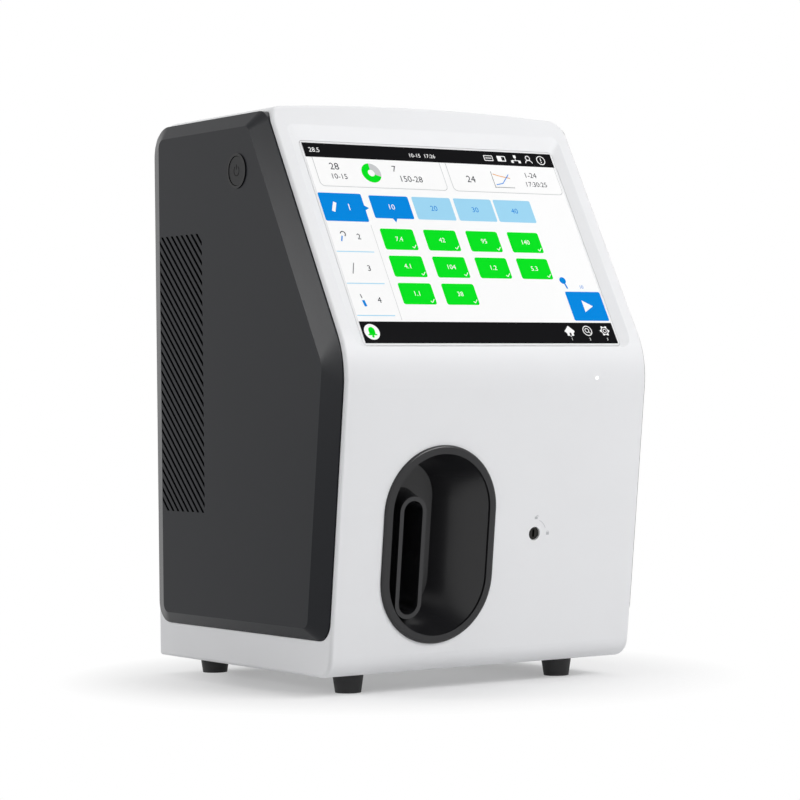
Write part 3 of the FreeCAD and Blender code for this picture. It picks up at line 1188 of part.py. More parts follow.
# Power supply on the base plate
supply_case = prism("XY_Plane",
                    rectangle(("supply_left", "supply_right"), ("supply_front", "supply_rear")),
                    "base_top", "supply_top", all_round("supply_radius"))
terminals = box(("supply_right - terminal_width", "supply_right + terminal_reach"),
                ("supply_front + terminal_reach", "supply_front + terminal_reach + terminal_length"),
                ("base_top + terminal_reach", "base_top + terminal_reach + terminal_width"))
node(fuse(supply_case, terminals), "power_supply")

# Loudspeaker on the back of the bulkhead
speaker = rod("y", "speaker_radius", ("speaker_x", "bulkhead_rear", "speaker_z"), "speaker_length")
speaker_cone = cone("y", "speaker_cone_radius / 2", "speaker_cone_radius",
                    ("speaker_x", "bulkhead_rear + speaker_length - speaker_cone_depth", "speaker_z"),
                    "speaker_cone_depth")
node(cut(speaker, speaker_cone), "loudspeaker")

# Rear panel behind the frame of the rear opening
panel = prism("XZ_Plane",
              rectangle(("-rear_hole_width / 2 - panel_overlap", "rear_hole_width / 2 + panel_overlap"),
                        ("rear_hole_low - panel_overlap", "rear_hole_top + panel_overlap")),
              "panel_front", "panel_rear", all_round("hole_radius"))
panel_depth = ("panel_front - overrun", "panel_rear + overrun")
panel_holes = [box(("inlet_x - inlet_width / 2 + inlet_edge", "inlet_x + inlet_width / 2 - inlet_edge"),
                   panel_depth,
                   ("inlet_z - inlet_height / 2 + inlet_edge", "inlet_z + inlet_height / 2 - inlet_edge")),
               box(("mains_x - mains_width / 2 + inlet_edge", "mains_x + mains_width / 2 - inlet_edge"),
                   panel_depth,
                   ("mains_z - mains_height / 2 + inlet_edge", "mains_z + mains_height / 2 - inlet_edge"))]
socket_places = [(f"socket_left + socket_gap + {number} * (usb_width + socket_gap)", "usb_width",
                  "usb_height") for number in range(SIZES["usb_count"])]
net_place = ("socket_left + socket_gap + usb_count * (usb_width + socket_gap)", "net_width", "net_height")
panel_holes.append(box(("socket_left + plate_overlap", "socket_left + port_board_width - plate_overlap"),
                       panel_depth,
                       ("socket_low + plate_overlap", "socket_low + port_board_height - plate_overlap")))
plate = prism("XZ_Plane", rectangle(("socket_left", "socket_left + port_board_width"),
                                    ("socket_low", "socket_low + port_board_height")),
              "panel_front - plate_thick", "panel_front", all_round("glass_radius / 2"))
plate_holes = [box((f"{left} - socket_pass", f"{left} + {width} + socket_pass"),
                   ("panel_front - plate_thick - overrun", "panel_front + overrun"),
                   ("socket_low + socket_up - socket_pass",
                    f"socket_low + socket_up + {height} + socket_pass"))
               for left, width, height in socket_places + [net_place]]
node(cut(plate, *plate_holes), "socket_plate")
for side in (-1, 1):
    for rise in (-1, 1):
        panel_holes.append(rod("y", "small_screw_radius + screw_play",
                               (f"fan_x + {side} * (fan_size / 2 - fan_screw_inset)", panel_depth[0],
                                f"fan_z + {rise} * (fan_size / 2 - fan_screw_inset)"),
                               "panel_thick + 2 * overrun"))
slot_count = int(val("2 * fan_bore / grille_pitch"))
for number in range(slot_count):
    offset = f"({number} - {slot_count - 1} / 2) * grille_pitch"
    half = f"sqrt(fan_bore ^ 2 - ({offset}) ^ 2)"
    panel_holes.append(box((f"fan_x - {half}", f"fan_x + {half}"), panel_depth,
                           (f"fan_z + {offset} - grille_slot / 2",
                            f"fan_z + {offset} + grille_slot / 2")))
panel_screws = []
for x, z in PANEL_SCREWS:
    panel_holes.append(rod("y", "small_screw_radius + screw_play", (x, panel_depth[0], z),
                           "panel_thick + 2 * overrun"))
    head = rod("y", "small_head_radius", (x, "rear_plane - small_head", z), "small_head")
    shank = rod("y", "small_screw_radius", (x, "panel_front - small_head", z),
                "rear_plane - panel_front + small_head / 2")
    panel_screws.append(fuse(head, shank))
node(cut(panel, *panel_holes), "rear_panel")
node(group(*panel_screws), "rear_panel_screws")

# Cooling fan: frame with a motor plate on struts, screws through the panel, rotor
frame_block = box(("fan_x - fan_size / 2", "fan_x + fan_size / 2"), ("fan_front", "panel_front"),
                  ("fan_z - fan_size / 2", "fan_z + fan_size / 2"))
fan_bore = rod("y", "fan_bore", ("fan_x", "fan_front - overrun", "fan_z"), "fan_depth + 2 * overrun")
motor_plate = rod("y", "fan_hub_radius", ("fan_x", "fan_front", "fan_z"), "fan_plate")
struts = [box(("fan_x - fan_bore - fan_strut", "fan_x + fan_bore + fan_strut"),
              ("fan_front", "fan_front + fan_plate"), ("fan_z - fan_strut / 2", "fan_z + fan_strut / 2")),
          box(("fan_x - fan_strut / 2", "fan_x + fan_strut / 2"),
              ("fan_front", "fan_front + fan_plate"),
              ("fan_z - fan_bore - fan_strut", "fan_z + fan_bore + fan_strut"))]
bearing = rod("y", "fan_pin_radius + fan_play", ("fan_x", "fan_front - overrun", "fan_z"),
              "fan_plate + 2 * overrun")
fan_screws = []
fan_screw_holes = []
for side in (-1, 1):
    for rise in (-1, 1):
        x = f"fan_x + {side} * (fan_size / 2 - fan_screw_inset)"
        z = f"fan_z + {rise} * (fan_size / 2 - fan_screw_inset)"
        fan_screw_holes.append(rod("y", "small_screw_radius + screw_play",
                                   (x, "panel_front - 2 * screw_grip", z), "2 * screw_grip + overrun"))
        head = rod("y", "small_head_radius", (x, "panel_rear", z), "small_head")
        shank = rod("y", "small_screw_radius", (x, "panel_front - 2 * screw_grip + screw_play", z),
                    "2 * screw_grip - screw_play + panel_thick + small_head / 2")
        fan_screws.append(fuse(head, shank))
fan_body = fuse(cut(frame_block, fan_bore), motor_plate, *struts)
node(cut(fan_body, bearing, *fan_screw_holes), "fan_frame")
node(group(*fan_screws), "fan_screws")


def fan_rotor():
    """A hub with pitched blades and a pin that runs in the motor plate."""
    x = val("fan_x")
    z = val("fan_z")
    start = val("fan_front + fan_plate + fan_gap")
    length = val("fan_depth - fan_plate - 2 * fan_gap")
    hub_radius = val("fan_hub_radius")
    along = Vector(0, 1, 0)
    hub = Part.makeCylinder(hub_radius, length, Vector(x, start, z), along)
    pin = Part.makeCylinder(val("fan_pin_radius"), val("fan_plate + fan_gap + overrun"),
                            Vector(x, val("fan_front"), z), along)
    thick = val("fan_blade_thick")
    depth = val("fan_blade_depth")
    reach = val("fan_bore - fan_gap - fan_play") - hub_radius
    middle = start + length / 2
    count = SIZES["fan_blade_count"]
    blades = []
    for number in range(count):
        blade = Part.makeBox(reach + hub_radius / 2, depth, thick,
                             Vector(x + hub_radius / 2, middle - depth / 2, z - thick / 2))
        blade.rotate(Vector(x, middle, z), Vector(1, 0, 0), val("fan_blade_pitch"))
        blade.rotate(Vector(x, middle, z), along, 360 * number / count)
        blades.append(blade)
    sweep = Part.makeCylinder(hub_radius + reach, length, Vector(x, start, z), along)
    return hub.fuse([pin] + [blade.common(sweep) for blade in blades]).removeSplitter()


node(coded(fan_rotor()), "fan_rotor")

# Mains inlet with its three pins
inlet_flange = prism("XZ_Plane", rectangle(("inlet_x - inlet_width / 2", "inlet_x + inlet_width / 2"),
                                           ("inlet_z - inlet_height / 2", "inlet_z + inlet_height / 2")),
                     "panel_rear", "inlet_rear", all_round("glass_radius"))
inlet_body = box(("inlet_x - inlet_width / 2 + inlet_edge + panel_play",
                  "inlet_x + inlet_width / 2 - inlet_edge - panel_play"),
                 ("panel_rear - inlet_depth", "panel_rear + inlet_flange / 2"),
                 ("inlet_z - inlet_height / 2 + inlet_edge + panel_play",
                  "inlet_z + inlet_height / 2 - inlet_edge - panel_play"))
inlet_hole = box(("inlet_x - inlet_hole_width / 2", "inlet_x + inlet_hole_width / 2"),
                 ("inlet_rear - inlet_hole_depth", "inlet_rear + overrun"),
                 ("inlet_z - inlet_hole_height / 2", "inlet_z + inlet_hole_height / 2"))
node(cut(fuse(inlet_flange, inlet_body), inlet_hole), "mains_inlet")
node(group(*[rod("y", "inlet_pin_radius", (f"inlet_x + {place_across} * inlet_pin_pitch",
                                           "inlet_rear - inlet_hole_depth",
                                           f"inlet_z + {place_up} * inlet_pin_radius"), "inlet_pin_length")
             for place_across, place_up in ((-1, -1), (0, 1), (1, -1))]), "inlet_pins")

# Mains switch: frame in the panel and a rocker that tilts on its pin
switch_flange = prism("XZ_Plane", rectangle(("mains_x - mains_width / 2", "mains_x + mains_width / 2"),
                                            ("mains_z - mains_height / 2", "mains_z + mains_height / 2")),
                      "panel_rear", "panel_rear + inlet_flange / 2", all_round("glass_radius / 2"))
switch_frame = box(("mains_x - mains_width / 2 + inlet_edge + panel_play",
                    "mains_x + mains_width / 2 - inlet_edge - panel_play"),
                   ("panel_rear - mains_depth", "panel_rear + inlet_flange / 4"),
                   ("mains_z - mains_height / 2 + inlet_edge + panel_play",
                    "mains_z + mains_height / 2 - inlet_edge - panel_play"))
switch_well = box(("mains_x - mains_hole_width / 2", "mains_x + mains_hole_width / 2"),
                  ("panel_rear - mains_pocket", "panel_rear + inlet_flange"),
                  ("mains_z - mains_hole_height / 2", "mains_z + mains_hole_height / 2"))
pin_reach = "mains_hole_width / 2 - mains_gap + rocker_pin_sink"
pin_well = rod("x", "rocker_pin_radius + shaft_play", (f"mains_x - ({pin_reach}) - panel_play",
                                                       "rocker_axis", "mains_z"),
               f"2 * ({pin_reach}) + 2 * panel_play")
node(cut(fuse(switch_flange, switch_frame), switch_well, pin_well), "mains_switch_frame")
half_rocker = "(mains_hole_height / 2 - 2 * mains_gap)"
rocker = prism("YZ_Plane", [("-rocker_back", f"-{half_rocker}"),
                            ("rocker_end + rocker_shift", f"-{half_rocker}"),
                            ("rocker_middle + rocker_shift", "0"),
                            ("rocker_end + rocker_shift", half_rocker),
                            ("-rocker_back", half_rocker)],
               "mains_gap - mains_hole_width / 2", "mains_hole_width / 2 - mains_gap")
rocker_pin = rod("x", "rocker_pin_radius", (f"-({pin_reach})", "0", "0"), f"2 * ({pin_reach})")
node(fuse(rocker, rocker_pin), "mains_rocker", ("mains_x", "rocker_axis", "mains_z", "-rocker_tilt"))

# Data sockets on their own small board behind the panel
usb_sockets = []
for left, width, height in socket_places:
    body = box((left, f"{left} + {width}"), ("socket_front", "socket_rear"),
               ("socket_low + socket_up", f"socket_low + socket_up + {height}"))
    hole = box((f"{left} + usb_skin", f"{left} + {width} - usb_skin"),
               ("socket_rear - socket_hole_depth", "socket_rear + overrun"),
               ("socket_low + socket_up + usb_skin", f"socket_low + socket_up + {height} - usb_skin"))
    usb_sockets.append(cut(body, hole))
node(group(*usb_sockets), "usb_sockets")
left, width, height = net_place
net_body = box((left, f"{left} + {width}"), ("socket_front", "socket_rear"),
               ("socket_low + socket_up", f"socket_low + socket_up + {height}"))
net_hole = box((f"{left} + (net_width - net_hole_width) / 2",
                f"{left} + (net_width + net_hole_width) / 2"),
               ("socket_rear - socket_hole_depth", "socket_rear + overrun"),
               ("socket_low + socket_up + (net_height - net_hole_height) / 2",
                "socket_low + socket_up + (net_height + net_hole_height) / 2"))
node(cut(net_body, net_hole), "network_socket")
node(prism("XZ_Plane", rectangle(("socket_left", "socket_left + port_board_width"),
                                 ("socket_low", "socket_low + port_board_height")),
           "socket_front - port_board_thick", "socket_front", all_round("glass_radius / 2")),
     "socket_board")

# Every object must be sound before any file is written
doc.recompute()
for item in doc.Objects:
    if "Invalid" in item.State or "Error" in item.State:
        raise RuntimeError(f"{item.Label} ({item.Name}) did not build: {item.State}")
for item in NODES:
    if item.Shape.isNull() or not item.Shape.isValid() or not item.Shape.Solids:
        raise RuntimeError(f"{item.Label} has no sound shape")
os.makedirs("parts", exist_ok=True)
for item in NODES:
    item.Shape.exportStep(f"parts/{item.Label}.step")
print(len(NODES), "sub-parts written")
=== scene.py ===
import math

import bpy
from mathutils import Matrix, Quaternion, Vector


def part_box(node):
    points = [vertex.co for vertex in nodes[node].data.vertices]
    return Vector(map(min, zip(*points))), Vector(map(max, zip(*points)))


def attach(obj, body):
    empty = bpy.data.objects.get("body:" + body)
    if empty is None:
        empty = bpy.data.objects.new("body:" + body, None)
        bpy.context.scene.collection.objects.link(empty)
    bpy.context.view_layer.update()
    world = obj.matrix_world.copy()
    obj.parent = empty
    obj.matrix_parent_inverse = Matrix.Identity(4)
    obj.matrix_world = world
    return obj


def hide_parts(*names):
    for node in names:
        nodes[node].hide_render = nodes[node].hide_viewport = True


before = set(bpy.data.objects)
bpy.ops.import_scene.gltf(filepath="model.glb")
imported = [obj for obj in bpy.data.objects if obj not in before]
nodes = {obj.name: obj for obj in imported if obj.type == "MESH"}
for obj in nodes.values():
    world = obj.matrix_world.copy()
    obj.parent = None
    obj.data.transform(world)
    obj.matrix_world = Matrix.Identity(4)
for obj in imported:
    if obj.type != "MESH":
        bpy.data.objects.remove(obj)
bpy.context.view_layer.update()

# Bench: a pale round table top of dull laminate that carries the analyzer. Its lit colour and the
# shadow show near the analyzer under a painted shade that is darkest at the middle, and it fades
# into the white room further out
scene = bpy.context.scene
scene.view_settings.view_transform = "Standard"


class Wire:
    """A node's output in a material, with the operators that put Math nodes after it."""

    def __init__(self, tree, socket=None):
        self.tree = tree
        self.socket = socket

    def node(self, kind, settings=None, output=0, **inputs):
        """Adds a node: its settings first, then the values or links of its sockets.

        A socket is given by its name with underscores, or as at0, at1 and so on by its place."""
        made = self.tree.nodes.new("ShaderNode" + kind)
        for name, value in (settings or {}).items():
            if name == "stops":
                for stop, (place, grey) in zip(made.color_ramp.elements, value):
                    stop.position = place
                    stop.color = (grey, grey, grey, 1)
            else:
                setattr(made, name, value)
        for name, value in inputs.items():
            socket = made.inputs[int(name[2:]) if name.startswith("at") else name.replace("_", " ")]
            if isinstance(value, Wire):
                self.tree.links.new(value.socket, socket)
            else:
                socket.default_value = value
        return Wire(self.tree, made.outputs[output] if len(made.outputs) else None)

    def maths(self, operation, first, second):
        return self.node("Math", {"operation": operation}, at0=first, at1=second)

    def __add__(self, other):
        return self.maths("ADD", self, other)

    def __mul__(self, other):
        return self.maths("MULTIPLY", self, other)

    def __gt__(self, other):
        return self.maths("GREATER_THAN", self, other)

    __radd__ = __add__
    __rmul__ = __mul__


def begun(holder):
    """Empties the nodes of a material or a world and gives the wire that adds new ones."""
    holder.use_nodes = True
    holder.node_tree.nodes.clear()
    return Wire(holder.node_tree)


def seen_directly(wire):
    """1 for the rays that come straight from the camera, off a mirror or through glass."""
    return (wire.node("LightPath", output=0) + wire.node("LightPath", output=3)
            + wire.node("LightPath", output=7))


BENCH_RADIUS = 1.6
BENCH_COLOUR = (0.9, 0.9, 0.905, 1)
# stops of the fade: the grey 0.3 at the middle paints a shade on the bench around the analyzer,
# white further out
BENCH_FADE_AND_PAINTED_SHADE = ((0.07, 0.3), (0.145, 1))
ROOM_WHITE = (1, 1, 1, 1)
bpy.ops.object.select_all(action="DESELECT")
bpy.ops.mesh.primitive_circle_add(vertices=96, radius=BENCH_RADIUS, fill_type="NGON")
bench = bpy.context.object
bench.name = "bench"
laminate = bpy.data.materials.new("pale bench")
wire = begun(laminate)
outward = wire.node("VectorMath", {"operation": "LENGTH"}, output=1,
                    at0=wire.node("TexCoord", output=3))
# the fade's grey middle is painted shade: the bench is darker close to the analyzer even where no
# shadow falls
whiteness_and_painted_shade = wire.node("ValToRGB", {"stops": BENCH_FADE_AND_PAINTED_SHADE}, Fac=outward * (1 / BENCH_RADIUS))
lit = wire.node("BsdfDiffuse", Color=BENCH_COLOUR)
faded = wire.node("Emission", Color=ROOM_WHITE, Strength=1.0)
shown = wire.node("MixShader", at0=seen_directly(wire) * whiteness_and_painted_shade, at1=lit, at2=faded)
wire.node("OutputMaterial", Surface=shown)
bench.data.materials.append(laminate)

# Room and lamps: a studio with white walls that light the analyzer dimly from all sides, and
# three soft boxes, in front, at the left rear for the sloped cover borders, and overhead
ROOM_DIM = 0.27
ROOM_BRIGHT = 1.0
room = bpy.data.worlds.new("white room")
scene.world = room
wire = begun(room)
dim = wire.node("Background", Color=ROOM_WHITE, Strength=ROOM_DIM)
bright = wire.node("Background", Color=ROOM_WHITE, Strength=ROOM_BRIGHT)
walls = wire.node("MixShader", at0=seen_directly(wire), at1=dim, at2=bright)
wire.node("OutputWorld", Surface=walls)

LIT_POINT = Vector((0, 0, 0.19))
# each lamp's place, width, height and power
LAMPS = {
    "front lamp": ((0.7, -1.6, 1.35), 1.2, 1.0, 25),
    "side lamp": ((-1.51, 0.88, 0.53), 0.42, 0.4, 8),
    "top lamp": ((0.2, 0.3, 2.1), 1.4, 1.4, 12),
}
for name, (place, width, height, power) in LAMPS.items():
    bpy.ops.object.light_add(type="AREA", location=place)
    lamp = bpy.context.object
    lamp.name = name
    lamp.data.shape = "RECTANGLE"
    lamp.data.size = width
    lamp.data.size_y = height
    lamp.data.energy = power
    lamp.rotation_euler = (LIT_POINT - Vector(place)).to_track_quat("-Z", "Y").to_euler()

# Camera: a long lens at the front left of the analyzer, level with its middle and turned a
# little about its own line of sight
EYE = Vector((-1.0416, -1.5414, 0.1920))
SUBJECT = Vector((0.004318, 0.004, 0.186506))
CAMERA_ROLL = math.radians(-0.64)
CAMERA_LENS = 123.73
SENSOR_WIDTH = 36
bpy.ops.object.camera_add(location=EYE)
camera = bpy.context.object
camera.rotation_mode = "QUATERNION"
roll = Quaternion((0, 0, 1), CAMERA_ROLL)
camera.rotation_quaternion = (SUBJECT - EYE).to_track_quat("-Z", "Y") @ roll
camera.data.lens = CAMERA_LENS
camera.data.sensor_width = SENSOR_WIDTH
camera.data.clip_end = 20
scene.camera = camera

# White shell: one large moulding of cool white ABS, spark eroded to a fine satin texture, that
# stands on the base plate and is held down by the four foot screws
CLOUDS_PER_METRE = 14.0
GLOSS_SPREAD = 0.08


def moulded(name, colour, roughness, grain=0.0004, relief=0.00002, cloudiness=0.02, coat=0.0,
            specular=0.5, glow=0.0):
    """A moulded plastic: a fine grain in relief, and slight clouds in its colour and gloss."""
    material = bpy.data.materials.new(name)
    wire = begun(material)
    place = wire.node("TexCoord", output=3)
    cloud = wire.node("TexNoise", Vector=place, Scale=CLOUDS_PER_METRE, Detail=3.0, Roughness=0.6)
    fine = wire.node("TexNoise", Vector=place, Scale=1 / grain, Detail=2.0)
    darker = [channel * (1 - cloudiness) for channel in colour] + [1]
    lighter = [channel * (1 + cloudiness) for channel in colour] + [1]
    tint = wire.node("Mix", {"data_type": "RGBA"}, output=2, at0=cloud, at6=darker, at7=lighter)
    bump = wire.node("Bump", Strength=0.6, Distance=relief, Height=fine)
    gloss = fine * GLOSS_SPREAD + (roughness - GLOSS_SPREAD / 2)
    shader = wire.node("BsdfPrincipled", Base_Color=tint, Roughness=gloss, Normal=bump,
                       Coat_Weight=coat, Coat_Roughness=0.25, Specular_IOR_Level=specular,
                       Emission_Strength=glow)
    wire.node("OutputMaterial", Surface=shader)
    return material


def finish(material, *names):
    """Gives nodes of the CAD model their surface."""
    for name in names:
        for slot in nodes[name].material_slots:
            slot.material = material


SHELL_WHITE = (0.80, 0.805, 0.82)
finish(moulded("white shell", SHELL_WHITE, roughness=0.42), "main_shell")

# Side covers and drawer front: dark grey mouldings with a satin texture, the left one with a
# field of slanted vent slits, clipped into the side openings of the shell
COVER_GREY = (0.0078, 0.0088, 0.0118)
finish(moulded("dark cover", COVER_GREY, roughness=0.31, grain=0.0005, cloudiness=0.06,
               specular=0.15), "left_side_cover", "right_side_cover", "drawer_front")

# Touch screen: white-bordered cover glass bonded in the sloped recess of the shell, over the
# pressed metal frame of the display module
GLASS_WHITE = (0.83, 0.835, 0.845)
finish(moulded("bordered cover glass", GLASS_WHITE, roughness=0.12, grain=0.004,
               relief=0.000002, coat=0.6), "display_glass")

# Picture on the screen: the lit start page of the analyzer, with two black bars, two cards,
# tabs, ten green test tiles and plain numbers, in layers a twentieth of a millimetre apart
MM = 0.001
LAYER = 0.05 * MM
MARK_THICKNESS = 0.8 * LAYER
PICTURE_WIDTH = 200.5
PICTURE_HEIGHT = 149.8
TOP_BAR = 10.9
FOOT_BAR = 15.8
SCREEN_LEAN = math.radians(29.08)
LIT_SHARE = 0.42
DIMMEST_SHARE = 0.965


def glowing(name, colour):
    """A colour of the lit screen, a shade uneven as the backlight is, under smooth glass."""
    material = bpy.data.materials.new(name)
    wire = begun(material)
    place = wire.node("TexCoord", output=3)
    cloud = wire.node("TexNoise", Vector=place, Scale=9.0, Detail=1.0)
    dimmer = [channel * DIMMEST_SHARE for channel in colour] + [1]
    tint = wire.node("Mix", {"data_type": "RGBA"}, output=2, at0=cloud, at6=dimmer,
                     at7=list(colour) + [1])
    unlit = wire.node("VectorMath", {"operation": "SCALE"}, at0=tint, Scale=1 - LIT_SHARE)
    shader = wire.node("BsdfPrincipled", Base_Color=unlit, Roughness=0.16,
                       Specular_IOR_Level=0.03, Emission_Color=tint, Emission_Strength=LIT_SHARE)
    wire.node("OutputMaterial", Surface=shader)
    return material


SCREEN_INKS = {
    "white": (0.985, 0.985, 0.985),
    "black": (0.0045, 0.0045, 0.0055),
    "line grey": (0.60, 0.61, 0.62),
    "ink": (0.03, 0.034, 0.045),
    "blue": (0.0, 0.246, 0.745),
    "light blue": (0.352, 0.686, 0.905),
    "green": (0.0, 0.776, 0.014),
    "orange": (0.79, 0.33, 0.06),
}
inks = {name: glowing("screen " + name, colour) for name, colour in SCREEN_INKS.items()}


def inked(part, ink):
    """Applies the place of a flat mark and gives it its colour."""
    bpy.ops.object.transform_apply(location=True, rotation=True, scale=True)
    part.data.materials.clear()
    part.data.materials.append(ink)
    return part


FACING = 0.9


def pick(part, kind, wanted):
    """Opens a part for editing with only those of its faces or edges selected that are wanted."""
    bpy.ops.object.mode_set(mode="EDIT")
    bpy.ops.mesh.select_mode(type=kind)
    bpy.ops.mesh.select_all(action="DESELECT")
    bpy.ops.object.mode_set(mode="OBJECT")
    for item in part.data.polygons if kind == "FACE" else part.data.edges:
        item.select = wanted(item)
    bpy.ops.object.mode_set(mode="EDIT")


def plate(ink, left, bottom, width, height, layer=1, corner=0.0):
    """An upright rectangle that faces the front, in millimetres, with its corners rounded."""

    def runs_through(edge):
        start, end = (part.data.vertices[number].co for number in edge.vertices)
        return abs(start.y - end.y) > LAYER / 2

    bpy.ops.object.select_all(action="DESELECT")
    middle = ((left + width / 2) * MM, -layer * LAYER, (bottom + height / 2) * MM)
    bpy.ops.mesh.primitive_cube_add(size=1, location=middle)
    part = bpy.context.object
    part.scale = (width * MM, MARK_THICKNESS, height * MM)
    inked(part, ink)
    if corner:
        pick(part, "EDGE", runs_through)
        bpy.ops.mesh.bevel(offset=corner * MM, segments=5)
        bpy.ops.object.mode_set(mode="OBJECT")
    return part


def stroke(ink, start, end, width, layer=2):
    """A straight line from one point to another."""
    run = Vector(end) - Vector(start)
    part = plate(ink, -run.length / 2, -width / 2, run.length, width, layer)
    part.rotation_euler = (0, -math.atan2(run.y, run.x), 0)
    part.location = ((start[0] + run.x / 2) * MM, 0, (start[1] + run.y / 2) * MM)
    return inked(part, ink)


def prism(ink, sides, across, up, radius, layer=2, turn=0.0):
    """A flat regular shape: a disc with many sides, or a triangle whose tip is turned."""
    bpy.ops.object.select_all(action="DESELECT")
    bpy.ops.mesh.primitive_cylinder_add(vertices=sides, radius=radius * MM, depth=MARK_THICKNESS,
                                        location=(across * MM, -layer * LAYER, up * MM),
                                        rotation=(math.pi / 2, math.radians(turn), 0))
    return inked(bpy.context.object, ink)


def ring(ink, across, up, radius, width, layer=2):
    """A flat ring about a point: a disc whose two faces are inset and bridged."""
    part = prism(ink, 40, across, up, radius + width / 2, layer)
    pick(part, "FACE", lambda face: abs(face.normal.y) > FACING)
    bpy.ops.mesh.inset(thickness=width * MM)
    bpy.ops.mesh.bridge_edge_loops()
    bpy.ops.object.mode_set(mode="OBJECT")
    return part


ARC_STEP = 12
FEWEST_ARC_STEPS = 6


def band(ink, across, up, radius, width, layer=2, start=0.0, sweep=180.0):
    """A flat arc about a point, from a start angle anticlockwise through a sweep."""
    part = plate(ink, radius - width / 2, -width / 20, width, width / 10, layer)
    pick(part, "FACE", lambda face: face.normal.z > FACING)
    steps = max(FEWEST_ARC_STEPS, round(sweep / ARC_STEP))
    bpy.ops.mesh.spin(steps=steps, angle=math.radians(sweep), center=(0, 0, 0), axis=(0, 1, 0))
    bpy.ops.object.mode_set(mode="OBJECT")
    part.rotation_euler = (0, -math.radians(start), 0)
    part.location = (across * MM, 0, up * MM)
    return inked(part, ink)


def words(ink, text, across, up, size, layer=3):
    """A number centred on a point."""
    bpy.ops.object.select_all(action="DESELECT")
    bpy.ops.object.text_add(location=(across * MM, -layer * LAYER, up * MM),
                            rotation=(math.pi / 2, 0, 0))
    part = bpy.context.object
    part.data.body = text
    part.data.size = size * MM
    part.data.extrude = LAYER / 4
    part.data.resolution_u = 3
    part.data.align_x = "CENTER"
    part.data.align_y = "CENTER"
    bpy.ops.object.convert(target="MESH")
    bpy.ops.object.mode_set(mode="EDIT")
    bpy.ops.mesh.select_all(action="SELECT")
    bpy.ops.mesh.remove_doubles(threshold=LAYER / 100)
    bpy.ops.object.mode_set(mode="OBJECT")
    return inked(part, ink)


def settle(parts, name, body, turn=(0, 0, 0), place=(0, 0, 0)):
    """Joins the parts of a piece, puts it in its place and lets it ride on its body."""
    bpy.ops.object.select_all(action="DESELECT")
    for part in parts:
        part.select_set(True)
    piece = parts[0]
    bpy.context.view_layer.objects.active = piece
    if len(parts) > 1:
        bpy.ops.object.join()
    piece.name = name
    piece.rotation_euler = turn
    piece.location = place
    bpy.ops.object.transform_apply(location=True, rotation=True, scale=True)
    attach(piece, body)
    return piece


white = inks["white"]
blue = inks["blue"]
ink = inks["ink"]
picture = [
    plate(white, 0, 0, PICTURE_WIDTH, PICTURE_HEIGHT, layer=1),
    plate(inks["black"], 0, PICTURE_HEIGHT - TOP_BAR, PICTURE_WIDTH, TOP_BAR, layer=4),
    plate(inks["black"], 0, 0, PICTURE_WIDTH, FOOT_BAR, layer=4),
]

# Two cards at the top of the page: the pack's fill with a ring that shows how much is left,
# and the last calibration with a small chart, in thin outlines with rounded corners
CARDS = ((4.5, 100.0), (109.0, 91.0))
CARD_FOOT = 116.6
CARD_HEIGHT = 26
CARD_OUTLINE = 0.5
CARD_CORNER, CARD_INNER_CORNER = 3.5, 3.1
for left, width in CARDS:
    picture.append(plate(inks["line grey"], left, CARD_FOOT, width, CARD_HEIGHT, layer=2,
                         corner=CARD_CORNER))
    picture.append(plate(white, left + CARD_OUTLINE, CARD_FOOT + CARD_OUTLINE,
                         width - 2 * CARD_OUTLINE, CARD_HEIGHT, layer=3,
                         corner=CARD_INNER_CORNER))
UPPER_LINE, LOWER_LINE = 132.0, 124.4
GAUGE = (47, 128.2, 5, 4.8)
CHART_LEFT, CHART_FOOT = 144.5, 121
CHART_RIGHT, CHART_TOP = 160.5, 133.5
CHART_OVERRUN = 0.5
CHART_LINE = 0.35
CURVE_LINE = 0.6
FALLING = ((145.5, 131.5), (151, 130), (159, 128.5))
RISING = ((146, 123), (151.5, 124.2), (158.5, 131.5))
# each number with its place across and up the picture and its size
CARD_NUMBERS = (("28", 19.5, UPPER_LINE, 7.4), ("10-15", 21, LOWER_LINE, 5.6),
                ("7", 66, UPPER_LINE, 6.6), ("150-28", 77, LOWER_LINE, 6.6),
                ("24", 126, 126.4, 7.4), ("1-24", 177, 131.4, 5.8),
                ("17:30:25", 179.5, 124.2, 5.4))
picture += [
    ring(inks["green"], *GAUGE, layer=4),
    band(inks["line grey"], *GAUGE, layer=5, start=-20, sweep=110),
    stroke(ink, (CHART_LEFT, CHART_FOOT - CHART_OVERRUN), (CHART_LEFT, CHART_TOP), CHART_LINE,
           layer=4),
    stroke(ink, (CHART_LEFT, CHART_FOOT), (CHART_RIGHT, CHART_FOOT), CHART_LINE, layer=4),
]
for text, across, up, size in CARD_NUMBERS:
    picture.append(words(ink, text, across, up, size, layer=4))
for curve, shade in ((FALLING, inks["orange"]), (RISING, blue)):
    for start, end in zip(curve, curve[1:]):
        picture.append(stroke(shade, start, end, CURVE_LINE, layer=5))

# List of sample kinds on the left of the page, the first one picked out in blue with a notch
# that points to the tests: a syringe, a looped tube, a capillary and a dropper over its vial
LIST_WIDTH = 33.2
LIST_FOOT, LIST_TOP = 17, 88
LIST_LINE = 0.3
LIST_NUMBER = 21
FIRST_ROW = 100.9
FIRST_WIDTH, FIRST_HEIGHT = 33, 21.4
FIRST_SIZE = 7
LIST_ROWS = (78.6, 55.0, 31.4)
ROW_LEFT, ROW_RIGHT = 0.5, 29
ROW_LINE = 0.6
ROW_DROP = 11.2
ROW_SIZE = 6
NOTCH = 2.6
NOTCH_OUT = 0.4
BUTTON_CORNER = 1.2
TUBE_ROW, CAPILLARY_ROW, DROPPER_ROW = LIST_ROWS
